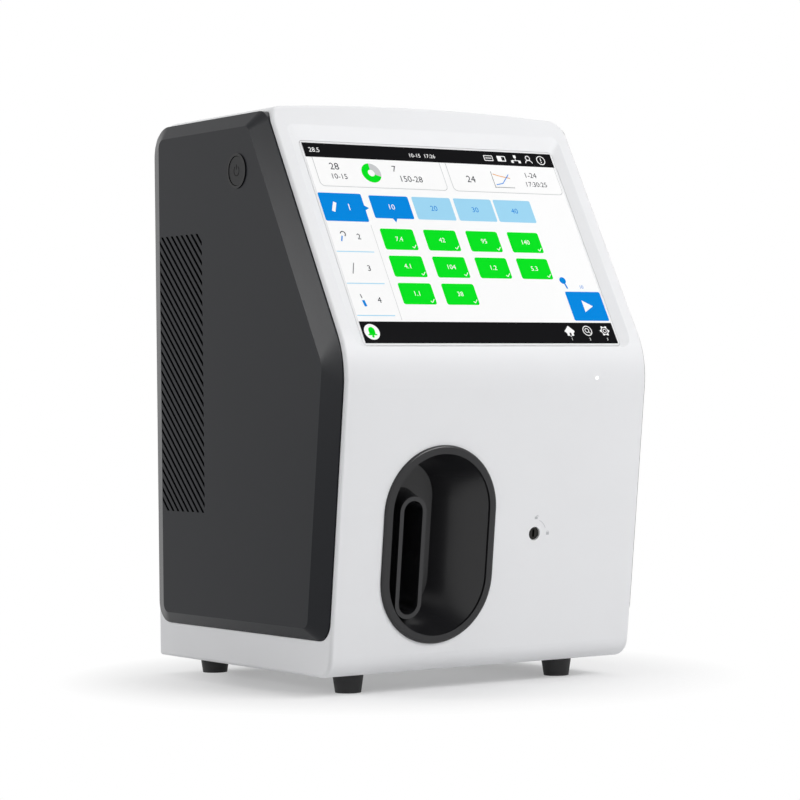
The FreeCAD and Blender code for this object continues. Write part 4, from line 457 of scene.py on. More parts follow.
# each sign's two ends, or its middle and radius, and then its width
SYRINGE = ((8, FIRST_ROW - 3.4), (11, FIRST_ROW + 3.6), 2.4)
TUBE_LOOP = (9.5, TUBE_ROW + 2, 1.8, 0.7)
TUBE_END = ((8.4, TUBE_ROW + 0.5), (6.8, TUBE_ROW - 3.5), 0.9)
CAPILLARY = ((10.5, CAPILLARY_ROW + 4), (7.5, CAPILLARY_ROW - 4), 0.5)
DROPPER = ((7.8, DROPPER_ROW + 4.5), (8.3, DROPPER_ROW + 1.5), 0.6)
VIAL = ((8.6, DROPPER_ROW), (9.4, DROPPER_ROW - 4.5), 2.0)
picture += [
    plate(blue, 0, FIRST_ROW - FIRST_HEIGHT / 2, FIRST_WIDTH, FIRST_HEIGHT, layer=2,
          corner=BUTTON_CORNER),
    prism(blue, 3, LIST_WIDTH + NOTCH_OUT, FIRST_ROW, NOTCH, layer=2, turn=90),
    stroke(white, *SYRINGE, layer=3),
    words(white, "1", LIST_NUMBER, FIRST_ROW, FIRST_SIZE, layer=3),
    stroke(inks["line grey"], (LIST_WIDTH, LIST_FOOT), (LIST_WIDTH, LIST_TOP), LIST_LINE, layer=2),
]
for number, up in enumerate(LIST_ROWS, start=2):
    picture += [
        stroke(inks["light blue"], (ROW_LEFT, up - ROW_DROP), (ROW_RIGHT, up - ROW_DROP), ROW_LINE,
               layer=2),
        words(ink, str(number), LIST_NUMBER, up, ROW_SIZE, layer=3),
    ]
picture += [
    band(ink, *TUBE_LOOP, start=-60, sweep=230),
    stroke(blue, *TUBE_END),
    stroke(ink, *CAPILLARY),
    stroke(ink, *DROPPER),
    stroke(blue, *VIAL),
]

# Tabs of the four test groups, the first one picked out in blue with a notch that points down
# to its ten green tiles. Each tile has the value of a test, and a tick in its corner
TAB_LEFTS = (38.6, 72.2, 105.4, 137.8)
TAB_FOOT = 93.4
TAB_WIDTH, TAB_HEIGHT = 30.6, 17.4
TAB_SIZE = 5.6
for number, left in enumerate(TAB_LEFTS, start=1):
    shade = blue if number == 1 else inks["light blue"]
    middle = left + TAB_WIDTH / 2
    picture.append(plate(shade, left, TAB_FOOT, TAB_WIDTH, TAB_HEIGHT, layer=2,
                         corner=BUTTON_CORNER))
    picture.append(words(white if number == 1 else blue, str(number * 10), middle,
                         TAB_FOOT + TAB_HEIGHT / 2, TAB_SIZE))
picture.append(prism(blue, 3, TAB_LEFTS[0] + TAB_WIDTH / 2, TAB_FOOT - NOTCH_OUT, NOTCH, layer=2,
                     turn=180))
TILE_LEFT = 38.9
TILE_TOP = 69.6
TILE_STEP = (33.7, 20.45)
TILE_WIDTH, TILE_HEIGHT = 25.6, 15.9
TILE_CORNER = 1.6
VALUE_UP, VALUE_SIZE = 8, 4.9
TICK = ((21.4, 2.6), (22.5, 1.5), (24.5, 4))
TICK_LINE = 0.5
TESTS = (("7.4", "42", "95", "140"), ("4.1", "104", "1.2", "5.3"), ("1.1", "38"))
for row, values in enumerate(TESTS):
    for column, value in enumerate(values):
        left = TILE_LEFT + TILE_STEP[0] * column
        bottom = TILE_TOP - TILE_STEP[1] * row
        picture.append(plate(inks["green"], left, bottom, TILE_WIDTH, TILE_HEIGHT, layer=2,
                             corner=TILE_CORNER))
        picture.append(words(white, value, left + TILE_WIDTH / 2, bottom + VALUE_UP, VALUE_SIZE))
        tick = [(left + across, bottom + up) for across, up in TICK]
        for start, end in zip(tick, tick[1:]):
            picture.append(stroke(white, start, end, TICK_LINE, layer=3))

# Start button at the lower right of the page, blue with a white arrow head, and above it the
# round marker on its pin that shows the place of the sample
START_LEFT, START_FOOT = 171.2, 17.4
START_WIDTH, START_HEIGHT = 29, 22.4
ARROW_HEAD = (START_LEFT + 14, START_FOOT + 11.2, 5.2)
MARKER = (START_LEFT + 1.6, START_FOOT + 31, 2.6)
MARKER_PIN = ((START_LEFT + 2.2, START_FOOT + 29.6), (START_LEFT + 3.4, START_FOOT + 24.8), 1.2)
MARKER_NUMBER = (START_LEFT + 15.3, START_FOOT + 26, 3.6)
picture += [
    plate(blue, START_LEFT, START_FOOT, START_WIDTH, START_HEIGHT, layer=2, corner=BUTTON_CORNER),
    prism(white, 3, *ARROW_HEAD, layer=3, turn=90),
    prism(blue, 24, *MARKER),
    stroke(blue, *MARKER_PIN),
    words(blue, "10", *MARKER_NUMBER),
]

# Signs in the upper black bar, white on black: a number at its left, the time in its middle,
# and at its right a card, a battery, a network, a user and a ring with a mark
BAR_LAYER = 5
BAR_NUMBER = (8, 144.3, 5.0)
TIME = (92, 143.4, 4.2)
SIGN_UP = 144.3
SIGN_LINE = 0.6
SIGN_HEIGHT = 4.4
SIGN_CORNER = 0.5
SIGN_FOOT = SIGN_UP - SIGN_HEIGHT / 2
CARD_SIGN, BATTERY_SIGN, NETWORK_SIGN, USER_SIGN, MARK_SIGN = 143.0, 154.0, 169.2, 180, 190.8
CARD_SIGN_WIDTH = 7.4
BATTERY_WIDTH = 7.0
BATTERY_EMPTY = (3.6, 2.6, 3.0)
NETWORK_LINE = 0.5
NETWORK_STEM = ((NETWORK_SIGN, SIGN_UP + 2.2), (NETWORK_SIGN, SIGN_UP - 1.2))
NETWORK_BAR = ((NETWORK_SIGN - 3.2, SIGN_UP - 1), (NETWORK_SIGN + 3.2, SIGN_UP - 1))
NETWORK_ARM = 3.0
NETWORK_KNOTS = ((0, 2.2, 1.5), (-NETWORK_ARM, -2.0, 1.4), (NETWORK_ARM, -2.0, 1.4))
HEAD = (USER_SIGN, SIGN_UP + 1.4, 1.7)
SHOULDERS = (USER_SIGN, SIGN_UP - 3.2, 2.9)
MARK_RADIUS, DOT_RADIUS = 3.3, 0.45
MARK_TOP, MARK_FOOT, DOT_DROP = 1.8, 0.6, 1.6
empty_left, empty_width, empty_height = BATTERY_EMPTY
picture += [
    words(white, "28.5", *BAR_NUMBER, layer=BAR_LAYER),
    words(white, "10-15  17:26", *TIME, layer=BAR_LAYER),
    plate(white, CARD_SIGN, SIGN_FOOT, CARD_SIGN_WIDTH, SIGN_HEIGHT, layer=BAR_LAYER,
          corner=SIGN_CORNER),
    plate(inks["black"], CARD_SIGN + SIGN_LINE, SIGN_FOOT + SIGN_LINE,
          CARD_SIGN_WIDTH - 2 * SIGN_LINE, SIGN_HEIGHT - 2 * SIGN_LINE, layer=BAR_LAYER + 1),
    stroke(white, (CARD_SIGN + 2 * SIGN_LINE, SIGN_UP),
           (CARD_SIGN + CARD_SIGN_WIDTH - 2 * SIGN_LINE, SIGN_UP), SIGN_LINE,
           layer=BAR_LAYER + 2),
    plate(white, BATTERY_SIGN, SIGN_FOOT, BATTERY_WIDTH, SIGN_HEIGHT, layer=BAR_LAYER,
          corner=SIGN_CORNER),
    plate(inks["black"], BATTERY_SIGN + empty_left, SIGN_UP - empty_height / 2, empty_width,
          empty_height, layer=BAR_LAYER + 1),
    stroke(white, *NETWORK_STEM, NETWORK_LINE, layer=BAR_LAYER),
    stroke(white, *NETWORK_BAR, NETWORK_LINE, layer=BAR_LAYER),
    ring(white, *HEAD, SIGN_LINE, layer=BAR_LAYER),
    band(white, *SHOULDERS, SIGN_LINE, layer=BAR_LAYER, start=10, sweep=160),
    ring(white, MARK_SIGN, SIGN_UP, MARK_RADIUS, SIGN_LINE, layer=BAR_LAYER),
    prism(white, 16, MARK_SIGN, SIGN_UP - DOT_DROP, DOT_RADIUS, layer=BAR_LAYER),
    stroke(white, (MARK_SIGN, SIGN_UP - MARK_FOOT), (MARK_SIGN, SIGN_UP + MARK_TOP), SIGN_LINE,
           layer=BAR_LAYER),
]
for across, up, radius in NETWORK_KNOTS:
    picture.append(prism(white, 4, NETWORK_SIGN + across, SIGN_UP + up, radius, layer=BAR_LAYER,
                         turn=45))

# Signs in the lower black bar: a green bell in a white disc at its left, and at its right a
# house, a lens and a toothed wheel, each over its number
BELL = 7.4
HOME, SEARCH, SETTINGS = 163.4, 178.3, 192.8
FOOT_SIGN_UP = 9.6
FOOT_NUMBER_UP, FOOT_NUMBER_SIZE = 3.2, 2.6
# places across and up the picture with a radius, or a left and a foot with a width and a height
BELL_DISC, BELL_DOME, BELL_CLAPPER = (BELL, 8.2, 5.7), (BELL, 9.4, 2.3), (BELL, 4.9, 0.9)
BELL_WALL, BELL_RIM = (BELL - 2.3, 6.2, 4.6, 3.2), (BELL - 3.3, 5.7, 6.6, 0.9)
HOME_ROOF = (HOME, FOOT_SIGN_UP - 0.4, 4.2)
HOME_WALL = (HOME - 2.6, FOOT_SIGN_UP - 3.8, 5.2, 3.4)
HOME_DOOR = (HOME - 0.7, FOOT_SIGN_UP - 3.8, 1.4, 2.2)
LENS_DISC, LENS = (SEARCH, FOOT_SIGN_UP, 3.5), (SEARCH - 0.3, FOOT_SIGN_UP + 0.3, 1.5)
LENS_HANDLE = ((SEARCH + 0.8, FOOT_SIGN_UP - 0.8), (SEARCH + 2.2, FOOT_SIGN_UP - 2.2))
WHEEL_BORE, WHEEL_RIM, WHEEL_TIP = 1.3, 2.7, 3.2
FINE_LINE = 0.5
TEETH = 6
TOOTH_RADIUS = 0.8
picture += [
    prism(white, 40, *BELL_DISC, layer=BAR_LAYER),
    prism(inks["green"], 24, *BELL_DOME, layer=BAR_LAYER + 1),
    plate(inks["green"], *BELL_WALL, layer=BAR_LAYER + 1),
    plate(inks["green"], *BELL_RIM, layer=BAR_LAYER + 1, corner=0.3),
    prism(inks["green"], 16, *BELL_CLAPPER, layer=BAR_LAYER + 1),
    prism(white, 4, *HOME_ROOF, layer=BAR_LAYER),
    plate(white, *HOME_WALL, layer=BAR_LAYER),
    plate(inks["black"], *HOME_DOOR, layer=BAR_LAYER + 1),
    ring(white, *LENS_DISC, SIGN_LINE, layer=BAR_LAYER),
    ring(white, *LENS, FINE_LINE, layer=BAR_LAYER),
    stroke(white, *LENS_HANDLE, FINE_LINE, layer=BAR_LAYER),
    ring(white, SETTINGS, FOOT_SIGN_UP, WHEEL_BORE, FINE_LINE, layer=BAR_LAYER),
    ring(white, SETTINGS, FOOT_SIGN_UP, WHEEL_RIM, SIGN_LINE, layer=BAR_LAYER),
]
for tooth in range(TEETH):
    angle = math.tau * tooth / TEETH
    picture.append(prism(white, 12, SETTINGS + WHEEL_TIP * math.cos(angle),
                         FOOT_SIGN_UP + WHEEL_TIP * math.sin(angle), TOOTH_RADIUS,
                         layer=BAR_LAYER))
for number, across in enumerate((HOME, SEARCH, SETTINGS), start=1):
    picture.append(words(white, str(number), across, FOOT_NUMBER_UP, FOOT_NUMBER_SIZE,
                         layer=BAR_LAYER))

# Place of the picture: it lies on the cover glass, leaning back with it, and leaves a narrow
# border of the glass free all round
glass_low, glass_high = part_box("display_glass")
GLASS_HEIGHT = 152.8 * MM
PICTURE_BORDER = 1.5 * MM
picture_foot = Vector((-PICTURE_WIDTH / 2 * MM, glass_low.y, glass_high.z - GLASS_HEIGHT
                       * math.cos(SCREEN_LEAN)))
border = Vector((0, math.sin(SCREEN_LEAN), math.cos(SCREEN_LEAN))) * PICTURE_BORDER
settle(picture, "screen_picture", "housing", turn=(-SCREEN_LEAN, 0, 0),
       place=picture_foot + border)

# Sampling port: a deep scoop with a broad rim, moulded in satin black plastic and pushed in
# from the front until it clips behind the shell
PORT_BLACK = (0.013, 0.013, 0.0145)
finish(moulded("port plastic", PORT_BLACK, roughness=0.24, specular=0.42), "port_surround")

# Slot ring: a slightly softer and lighter black lip around the slot of the port, snapped in at
# the bottom of the scoop, which wipes the sample needle
RING_BLACK = (0.016, 0.016, 0.018)
finish(moulded("slot ring", RING_BLACK, roughness=0.25), "slot_lip")

# Lock: a satin nickel barrel behind a hole in the front, and in it a dark burnished core that
# the key turns
NICKEL_COLOUR = (0.30, 0.30, 0.31)
CORE_DARK = (0.035, 0.034, 0.033)
DULLEST_SHARE = 0.9
STREAK_SPREAD, CLOUD_SPREAD = 0.12, 0.08


def metallic(name, colour, roughness, streak=0.25, relief=0.000004, grain=0.0008):
    """A bare or plated metal: drawn streaks in its gloss, faint clouds in its colour."""
    material = bpy.data.materials.new(name)
    wire = begun(material)
    place = wire.node("TexCoord", output=3)
    drawn = wire.node("Mapping", Vector=place, Scale=(streak, 1, 1))
    fine = wire.node("TexNoise", Vector=drawn, Scale=1 / grain, Detail=2.0)
    cloud = wire.node("TexNoise", Vector=place, Scale=22.0, Detail=3.0)
    darker = [channel * DULLEST_SHARE for channel in colour] + [1]
    tint = wire.node("Mix", {"data_type": "RGBA"}, output=2, at0=cloud, at6=darker,
                     at7=list(colour) + [1])
    bump = wire.node("Bump", Strength=0.5, Distance=relief, Height=fine)
    smoothest = roughness - (STREAK_SPREAD + CLOUD_SPREAD) / 2
    gloss = fine * STREAK_SPREAD + cloud * CLOUD_SPREAD + smoothest
    shader = wire.node("BsdfPrincipled", Base_Color=tint, Metallic=1.0, Normal=bump,
                       Roughness=gloss)
    wire.node("OutputMaterial", Surface=shader)
    return material


finish(metallic("lock nickel", NICKEL_COLOUR, roughness=0.34), "lock_barrel")
finish(metallic("burnished core", CORE_DARK, roughness=0.3), "lock_core")

# Frame, brackets, drawer bay, lock cam and socket shells: cut and folded steel sheet with a
# bright zinc coat, screwed and spot welded to the base plate
ZINC_COLOUR = (0.58, 0.59, 0.60)
finish(metallic("zinc plated sheet", ZINC_COLOUR, roughness=0.42), "lock_cam", "base_plate",
       "bulkhead", "socket_plate", "display_bracket", "arm_bracket", "drawer_bay", "usb_sockets",
       "network_socket")

# Marks beside the lock: two small padlocks pad printed in grey on the shell, open above and
# shut to the right of the keyhole, joined by a faint arc about it
LOCK_ACROSS, LOCK_UP = 33.9, 86.4
LOWER_LEAN = math.radians(7.1)
LOWER_FACE = Vector((0, -96.0, 13.0)) * MM
OPEN_PADLOCK = (34.6, 97.2, 0.9)
SHUT_PADLOCK = (44.6, 86.6, 0.0)
ARC_RADIUS, ARC_LINE = 9.2, 0.3
PADLOCK_WIDTH, PADLOCK_HEIGHT, PADLOCK_CORNER = 2.2, 1.7, 0.2
PADLOCK_DROP = 1.3
BOW_RADIUS, BOW_LINE = 0.75, 0.32
MARK_GREY = (0.46, 0.47, 0.49)
mark_print = moulded("printed grey mark", MARK_GREY, roughness=0.5)
marks = [band(mark_print, LOCK_ACROSS, LOCK_UP, ARC_RADIUS, ARC_LINE, layer=1, start=22, sweep=46)]
for across, up, gap in (OPEN_PADLOCK, SHUT_PADLOCK):
    foot = up - PADLOCK_DROP
    marks += [
        plate(mark_print, across - PADLOCK_WIDTH / 2, foot, PADLOCK_WIDTH, PADLOCK_HEIGHT,
              layer=1, corner=PADLOCK_CORNER),
        band(mark_print, across + gap, foot + PADLOCK_HEIGHT, BOW_RADIUS, BOW_LINE, layer=1),
    ]
settle(marks, "lock_marks", "housing", turn=(LOWER_LEAN, 0, 0), place=LOWER_FACE)

# Status light: a small clear white lens clipped into the front, lit by a lamp on the board
# behind it
LENS_WHITE = (0.92, 0.93, 0.95)
LENS_GLOW = 0.9
finish(moulded("light lens", LENS_WHITE, roughness=0.15, coat=0.8, glow=LENS_GLOW), "status_light")

# Power button: a dark grey cap that moves in a glossier black ring, both moulded, with the
# standby sign pad printed on the cap in black
CAP_GREY = (0.0105, 0.011, 0.012)
BUTTON_BLACK = (0.005, 0.005, 0.006)
SIGN_BLACK = (0.001, 0.001, 0.001)
STANDBY_LINE = 0.55
STANDBY_RADIUS = 3.2
STANDBY_FOOT, STANDBY_TOP = 0.9, 4.2
finish(moulded("button cap", CAP_GREY, roughness=0.33, specular=0.15), "power_button")
finish(moulded("button ring", BUTTON_BLACK, roughness=0.30, specular=0.2), "power_button_ring")
sign_print = moulded("printed standby sign", SIGN_BLACK, roughness=0.5, specular=0.05)
standby = [
    band(sign_print, 0, 0, STANDBY_RADIUS, STANDBY_LINE, layer=1, start=125, sweep=290),
    stroke(sign_print, (0, STANDBY_FOOT), (0, STANDBY_TOP), STANDBY_LINE, layer=1),
]
cap_low, cap_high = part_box("power_button")
cap_middle = (cap_low + cap_high) / 2
settle(standby, "standby_sign", "power_button", turn=(0, 0, -math.pi / 2),
       place=(cap_low.x, cap_middle.y, cap_middle.z))

# Feet: four tapered mouldings of dull black rubber under the base plate, each held by one
# screw from below
RUBBER_BLACK = (0.012, 0.012, 0.013)
finish(moulded("foot rubber", RUBBER_BLACK, roughness=0.62, grain=0.0006, relief=0.00005),
       "foot_front_left", "foot_front_right", "foot_rear_left", "foot_rear_right")

# Screws: zinc plated pan heads, all with a cross recess; the CAD screws are taken over as they
# are and the recess is cut into each head
SCREW_OUTWARD = {
    "foot_screws": Vector((0, 0, -1)),
    "frame_screws": Vector((0, 1, 0)),
    "display_screws": Vector((0, -math.cos(SCREEN_LEAN), math.sin(SCREEN_LEAN))),
    "rear_panel_screws": Vector((0, 1, 0)),
    "fan_screws": Vector((0, 1, 0)),
}
RECESS_DEPTH = 0.7 * MM
RECESS_ARM_SHARE = 0.55
RECESS_WIDTH_SHARE = 0.2
WELD_GAP = 0.001 * MM
SCREW_COLOUR = (0.60, 0.60, 0.59)
screw_zinc = metallic("screw zinc", SCREW_COLOUR, roughness=0.3)


def cross_cutter(radius):
    """A four-armed bar for a recess in a head of a radius, its middle at the origin."""
    bpy.ops.object.select_all(action="DESELECT")
    bpy.ops.mesh.primitive_cube_add(size=1)
    cutter = bpy.context.object
    width = radius * RECESS_WIDTH_SHARE * 2
    cutter.scale = (width, width, RECESS_DEPTH * 2)
    bpy.ops.object.transform_apply(scale=True)
    pick(cutter, "FACE", lambda face: abs(face.normal.z) < 0.5)
    reach = radius * (RECESS_ARM_SHARE - RECESS_WIDTH_SHARE)
    bpy.ops.mesh.extrude_faces_move(TRANSFORM_OT_shrink_fatten={"value": reach})
    bpy.ops.object.mode_set(mode="OBJECT")
    return cutter


for name, outward in SCREW_OUTWARD.items():
    copy = bpy.data.objects.new(name + "_heads", nodes[name].data.copy())
    bpy.context.collection.objects.link(copy)
    bpy.ops.object.select_all(action="DESELECT")
    copy.select_set(True)
    bpy.context.view_layer.objects.active = copy
    bpy.ops.object.mode_set(mode="EDIT")
    bpy.ops.mesh.select_all(action="SELECT")
    bpy.ops.mesh.remove_doubles(threshold=WELD_GAP)
    bpy.ops.mesh.separate(type="LOOSE")
    bpy.ops.object.mode_set(mode="OBJECT")
    screws = list(bpy.context.selected_objects)
    for screw in screws:
        corners = [vertex.co for vertex in screw.data.vertices]
        middle = sum(corners, Vector()) / len(corners)
        height = max((corner - middle).dot(outward) for corner in corners)
        radius = max((corner - middle).cross(outward).length for corner in corners)
        cutter = cross_cutter(radius)
        cutter.rotation_mode = "QUATERNION"
        cutter.rotation_quaternion = outward.to_track_quat("Z", "Y")
        cutter.location = middle + outward * height
        bpy.context.view_layer.objects.active = screw
        cut = screw.modifiers.new("recess", "BOOLEAN")
        cut.operation = "DIFFERENCE"
        cut.solver = "EXACT"
        cut.object = cutter
        bpy.ops.object.modifier_apply(modifier="recess")
        bpy.data.objects.remove(cutter)
        screw.data.materials.clear()
        screw.data.materials.append(screw_zinc)
    piece = settle(screws, name + "_heads", "housing")
    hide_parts(name)

# Rear panel: a folded steel sheet, powder coated light grey, with the fan grille punched in it;
# six screws hold it on the shell
PANEL_GREY = (0.46, 0.47, 0.485)
finish(moulded("rear powder coat", PANEL_GREY, roughness=0.55, grain=0.0011, relief=0.00005,
               cloudiness=0.03), "rear_panel")

# Mains inlet, mains switch, power switch, fan and speaker basket: satin black mouldings of
# glass-filled plastic, snapped or screwed in
PLASTIC_BLACK = (0.018, 0.018, 0.019)
finish(moulded("black plastic", PLASTIC_BLACK, roughness=0.4, specular=0.45), "mains_inlet",
       "mains_switch_frame", "mains_rocker", "power_switch", "fan_frame", "fan_rotor",
       "loudspeaker")

# Inlet pins and board standoffs: turned brass, the pins pressed into the inlet and the
# standoffs screwed to the bulkhead
BRASS_COLOUR = (0.74, 0.53, 0.22)
brass = metallic("brass", BRASS_COLOUR, roughness=0.28)
finish(brass, "inlet_pins", "board_standoffs")

# Marks of the mains switch: the white line and ring of an ordinary rocker, printed on its two
# halves, of which the upper one stands out and leans at rest
PRINT_WHITE = (0.80, 0.80, 0.80)
ROCKER_STEP = 1.9 * MM
ROCKER_TILT = math.radians(17)
LINE_UP = 3.2 * MM
LINE_LENGTH, LINE_WIDTH = 3.2, 0.6
RING_IN, RING_DOWN = 1.03 * MM, 4.65 * MM
RING_RADIUS, RING_WIDTH = 1.5, 0.5
rocker_print = moulded("printed rocker mark", PRINT_WHITE, roughness=0.45)
rocker_low, rocker_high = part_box("mains_rocker")
rocker_middle = (rocker_low + rocker_high) / 2
line_place = Vector((rocker_middle.x, rocker_high.y - ROCKER_STEP, rocker_low.z + LINE_UP))
line = stroke(rocker_print, (0, -LINE_LENGTH / 2), (0, LINE_LENGTH / 2), LINE_WIDTH, layer=1)
settle([line], "rocker_line", "mains_rocker", turn=(0, 0, math.pi),
       place=line_place)
ring_place = Vector((rocker_middle.x, rocker_high.y - RING_IN, rocker_high.z - RING_DOWN))
settle([ring(rocker_print, 0, 0, RING_RADIUS, RING_WIDTH, layer=1)], "rocker_ring",
       "mains_rocker", turn=(ROCKER_TILT, 0, math.pi), place=ring_place)

# Tongues of the two USB sockets: white moulded bars in the pressed steel shells, each with
# four brass contacts laid into its lower side


def block(surface, low, high, edge=0.2):
    """A block between two corners in millimetres, with its edges bevelled."""
    bpy.ops.object.select_all(action="DESELECT")
    low, high = Vector(low) * MM, Vector(high) * MM
    bpy.ops.mesh.primitive_cube_add(size=1, location=(low + high) / 2)
    part = bpy.context.object
    part.scale = high - low
    inked(part, surface)
    bpy.ops.object.mode_set(mode="EDIT")
    bpy.ops.mesh.select_all(action="SELECT")
    bpy.ops.mesh.bevel(offset=edge * MM, segments=2)
    bpy.ops.object.mode_set(mode="OBJECT")
    return part


USB_WIDTH = 14
SOCKET_BACK = 5
TONGUE_HALF_WIDTH = 5.2
TONGUE_UP = 3.2
TONGUE_THICKNESS = 1.8
TONGUE_IN = 1
USB_CONTACTS = (-3.5, -1.2, 1.2, 3.5)
CONTACT_HALF_WIDTH = 0.5
CONTACT_IN = 1.6
CONTACT_DROP, CONTACT_SINK = 0.2, 0.05
CONTACT_EDGE = 0.08
TONGUE_WHITE = (0.70, 0.70, 0.69)
tongue_plastic = moulded("tongue plastic", TONGUE_WHITE, roughness=0.4)
usb_low, usb_high = (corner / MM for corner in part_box("usb_sockets"))
for number, left in enumerate((usb_low.x, usb_high.x - USB_WIDTH), start=1):
    back = usb_low.y + SOCKET_BACK
    middle = left + USB_WIDTH / 2
    foot = usb_low.z + TONGUE_UP
    tongue = [block(tongue_plastic, (middle - TONGUE_HALF_WIDTH, back, foot),
                    (middle + TONGUE_HALF_WIDTH, usb_high.y - TONGUE_IN,
                     foot + TONGUE_THICKNESS))]
    for place in USB_CONTACTS:
        across = middle + place
        tongue.append(block(brass, (across - CONTACT_HALF_WIDTH, back, foot - CONTACT_DROP),
                            (across + CONTACT_HALF_WIDTH, usb_high.y - CONTACT_IN,
                             foot + CONTACT_SINK), edge=CONTACT_EDGE))
    settle(tongue, f"usb_tongue_{number}", "housing")

# Network contacts: eight thin brass wires that slant down from the roof of the network socket
# and are moulded into its rear wall
NET_CONTACTS = 8
NET_CONTACT_STEP = 1.02
NET_CONTACT_SLANT = math.radians(26)
NET_CONTACT_HALF_LENGTH, NET_CONTACT_HALF_WIDTH, NET_CONTACT_EDGE = 4, 0.2, 0.1
NET_CONTACT_IN, NET_CONTACT_DOWN = 5.5, 4.6
net_low, net_high = (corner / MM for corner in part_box("network_socket"))
contacts = []
for number in range(NET_CONTACTS):
    across = (net_low.x + net_high.x) / 2 + (number - (NET_CONTACTS - 1) / 2) * NET_CONTACT_STEP
    corner = Vector((NET_CONTACT_HALF_WIDTH, NET_CONTACT_HALF_LENGTH, NET_CONTACT_HALF_WIDTH))
    centre = Vector((across, 0, 0))
    contact = block(brass, centre - corner, centre + corner, edge=NET_CONTACT_EDGE)
    contact.rotation_euler = (NET_CONTACT_SLANT, 0, 0)
    contact.location = Vector((0, net_high.y - NET_CONTACT_IN, net_high.z - NET_CONTACT_DOWN)) * MM
    contacts.append(inked(contact, brass))
settle(contacts, "network_contacts", "housing")

# Boards: green glass-epoxy laminate under solder mask, etched with a faint network of copper
# tracks that stands out a little under the mask
TRACK_GREEN = (0.02, 0.155, 0.06, 1)
MASK_GREEN = (0.008, 0.085, 0.032, 1)
TRACKS_PER_METRE = 420.0
TRACK_SHARE = 0.12
green_board = bpy.data.materials.new("green board")
wire = begun(green_board)
flat = wire.node("Mapping", Vector=wire.node("TexCoord", output=3), Scale=(1, 0, 1))
tracks = wire.node("TexVoronoi", {"feature": "DISTANCE_TO_EDGE", "distance": "CHEBYCHEV"},
                   Vector=flat, Scale=TRACKS_PER_METRE)
bare = tracks > TRACK_SHARE
tint = wire.node("Mix", {"data_type": "RGBA"}, output=2, at0=bare, at6=TRACK_GREEN,
                 at7=MASK_GREEN)
rise = wire.node("Bump", Strength=0.4, Distance=0.03 * MM, Height=bare)
shader = wire.node("BsdfPrincipled", Base_Color=tint, Roughness=0.32, Normal=rise)
wire.node("OutputMaterial", Surface=shader)
finish(green_board, "mainboard", "socket_board", "status_light_board")

# Chips on the mainboard: black resin blocks with tinned legs on two sides, soldered to the
# rear side of the board around the heat sink
BOARD_THICKNESS = 1.6
CHIP_HEIGHT = 1.8
CHIP_GAP = 0.3
CHIP_EDGE = 0.25
LEG_STEP = 2.0
LEG_START_SHARE = 0.25
LEG_OUT, LEG_UNDER = 1.2, 0.2
LEG_HEIGHT, LEG_WIDTH, LEG_EDGE = 0.6, 0.8, 0.1
# each chip's place across and up the board, its width and its height
CHIPS = ((8, 96, 22, 22), (90, 96, 10, 16), (104, 96, 10, 16), (90, 122, 10, 16),
         (104, 122, 10, 16), (8, 60, 14, 10), (30, 60, 14, 10))
RESIN_BLACK = (0.022, 0.022, 0.023)
TIN_COLOUR = (0.66, 0.66, 0.65)
board_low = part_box("mainboard")[0] / MM
board_face = board_low.y + BOARD_THICKNESS
chip_resin = moulded("chip resin", RESIN_BLACK, roughness=0.5)
tin = metallic("tinned legs", TIN_COLOUR, roughness=0.35)
chips = []
for across, up, width, height in CHIPS:
    left, bottom = board_low.x + across, board_low.z + up
    chips.append(block(chip_resin, (left, board_face + CHIP_GAP, bottom),
                       (left + width, board_face + CHIP_HEIGHT, bottom + height),
                       edge=CHIP_EDGE))
    for leg in range(int(height / LEG_STEP)):
        foot = bottom + (leg + LEG_START_SHARE) * LEG_STEP
        for side in (left - LEG_OUT, left + width - LEG_UNDER):
            chips.append(block(tin, (side, board_face, foot),
                               (side + LEG_OUT + LEG_UNDER, board_face + LEG_HEIGHT,
                                foot + LEG_WIDTH), edge=LEG_EDGE))
settle(chips, "mainboard_chips", "housing")

# Capacitors on the mainboard: a row of six aluminium cans in dark blue shrunk sleeves, their
# bare ends with a rolled edge, soldered below the chips
CAN_COUNT = 6
CAN_STEP = 12
CAN_ACROSS, CAN_UP = 14, 38
CAN_RADIUS, CAN_HEIGHT = 4.2, 9.0
CAN_RIM, CAN_HOLLOW = 0.5 * MM, 0.3 * MM
SLEEVE_BLUE = (0.015, 0.03, 0.075)
can_sleeve = moulded("capacitor sleeve", SLEEVE_BLUE, roughness=0.3, coat=0.4)
cans = []
for number in range(CAN_COUNT):
    bpy.ops.object.select_all(action="DESELECT")
    centre = Vector((board_low.x + CAN_ACROSS + number * CAN_STEP, board_face + CAN_HEIGHT / 2,
                     board_low.z + CAN_UP))
    bpy.ops.mesh.primitive_cylinder_add(vertices=32, radius=CAN_RADIUS * MM, depth=CAN_HEIGHT * MM,
                                        location=centre * MM, rotation=(math.pi / 2, 0, 0))
    can = inked(bpy.context.object, can_sleeve)
    can.data.materials.append(tin)
    can.active_material_index = 1
    pick(can, "FACE", lambda face: face.normal.y > FACING)
    bpy.ops.mesh.bevel(offset=CAN_RIM, segments=3)
    bpy.ops.mesh.inset(thickness=CAN_RIM)
    bpy.ops.object.material_slot_assign()
    bpy.ops.transform.translate(value=(0, -CAN_HOLLOW, 0))
    bpy.ops.object.mode_set(mode="OBJECT")
    bpy.ops.object.shade_smooth_by_angle(angle=math.radians(30))
    cans.append(can)
settle(cans, "mainboard_capacitors", "housing")

# Heat sink and measuring block: machined from aluminium bar, the block with a heater inside
# that keeps the sensor card on its front at body temperature
ALUMINIUM = (0.67, 0.68, 0.69)
finish(metallic("machined aluminium", ALUMINIUM, roughness=0.3, streak=0.1), "heat_sink",
       "measuring_block")

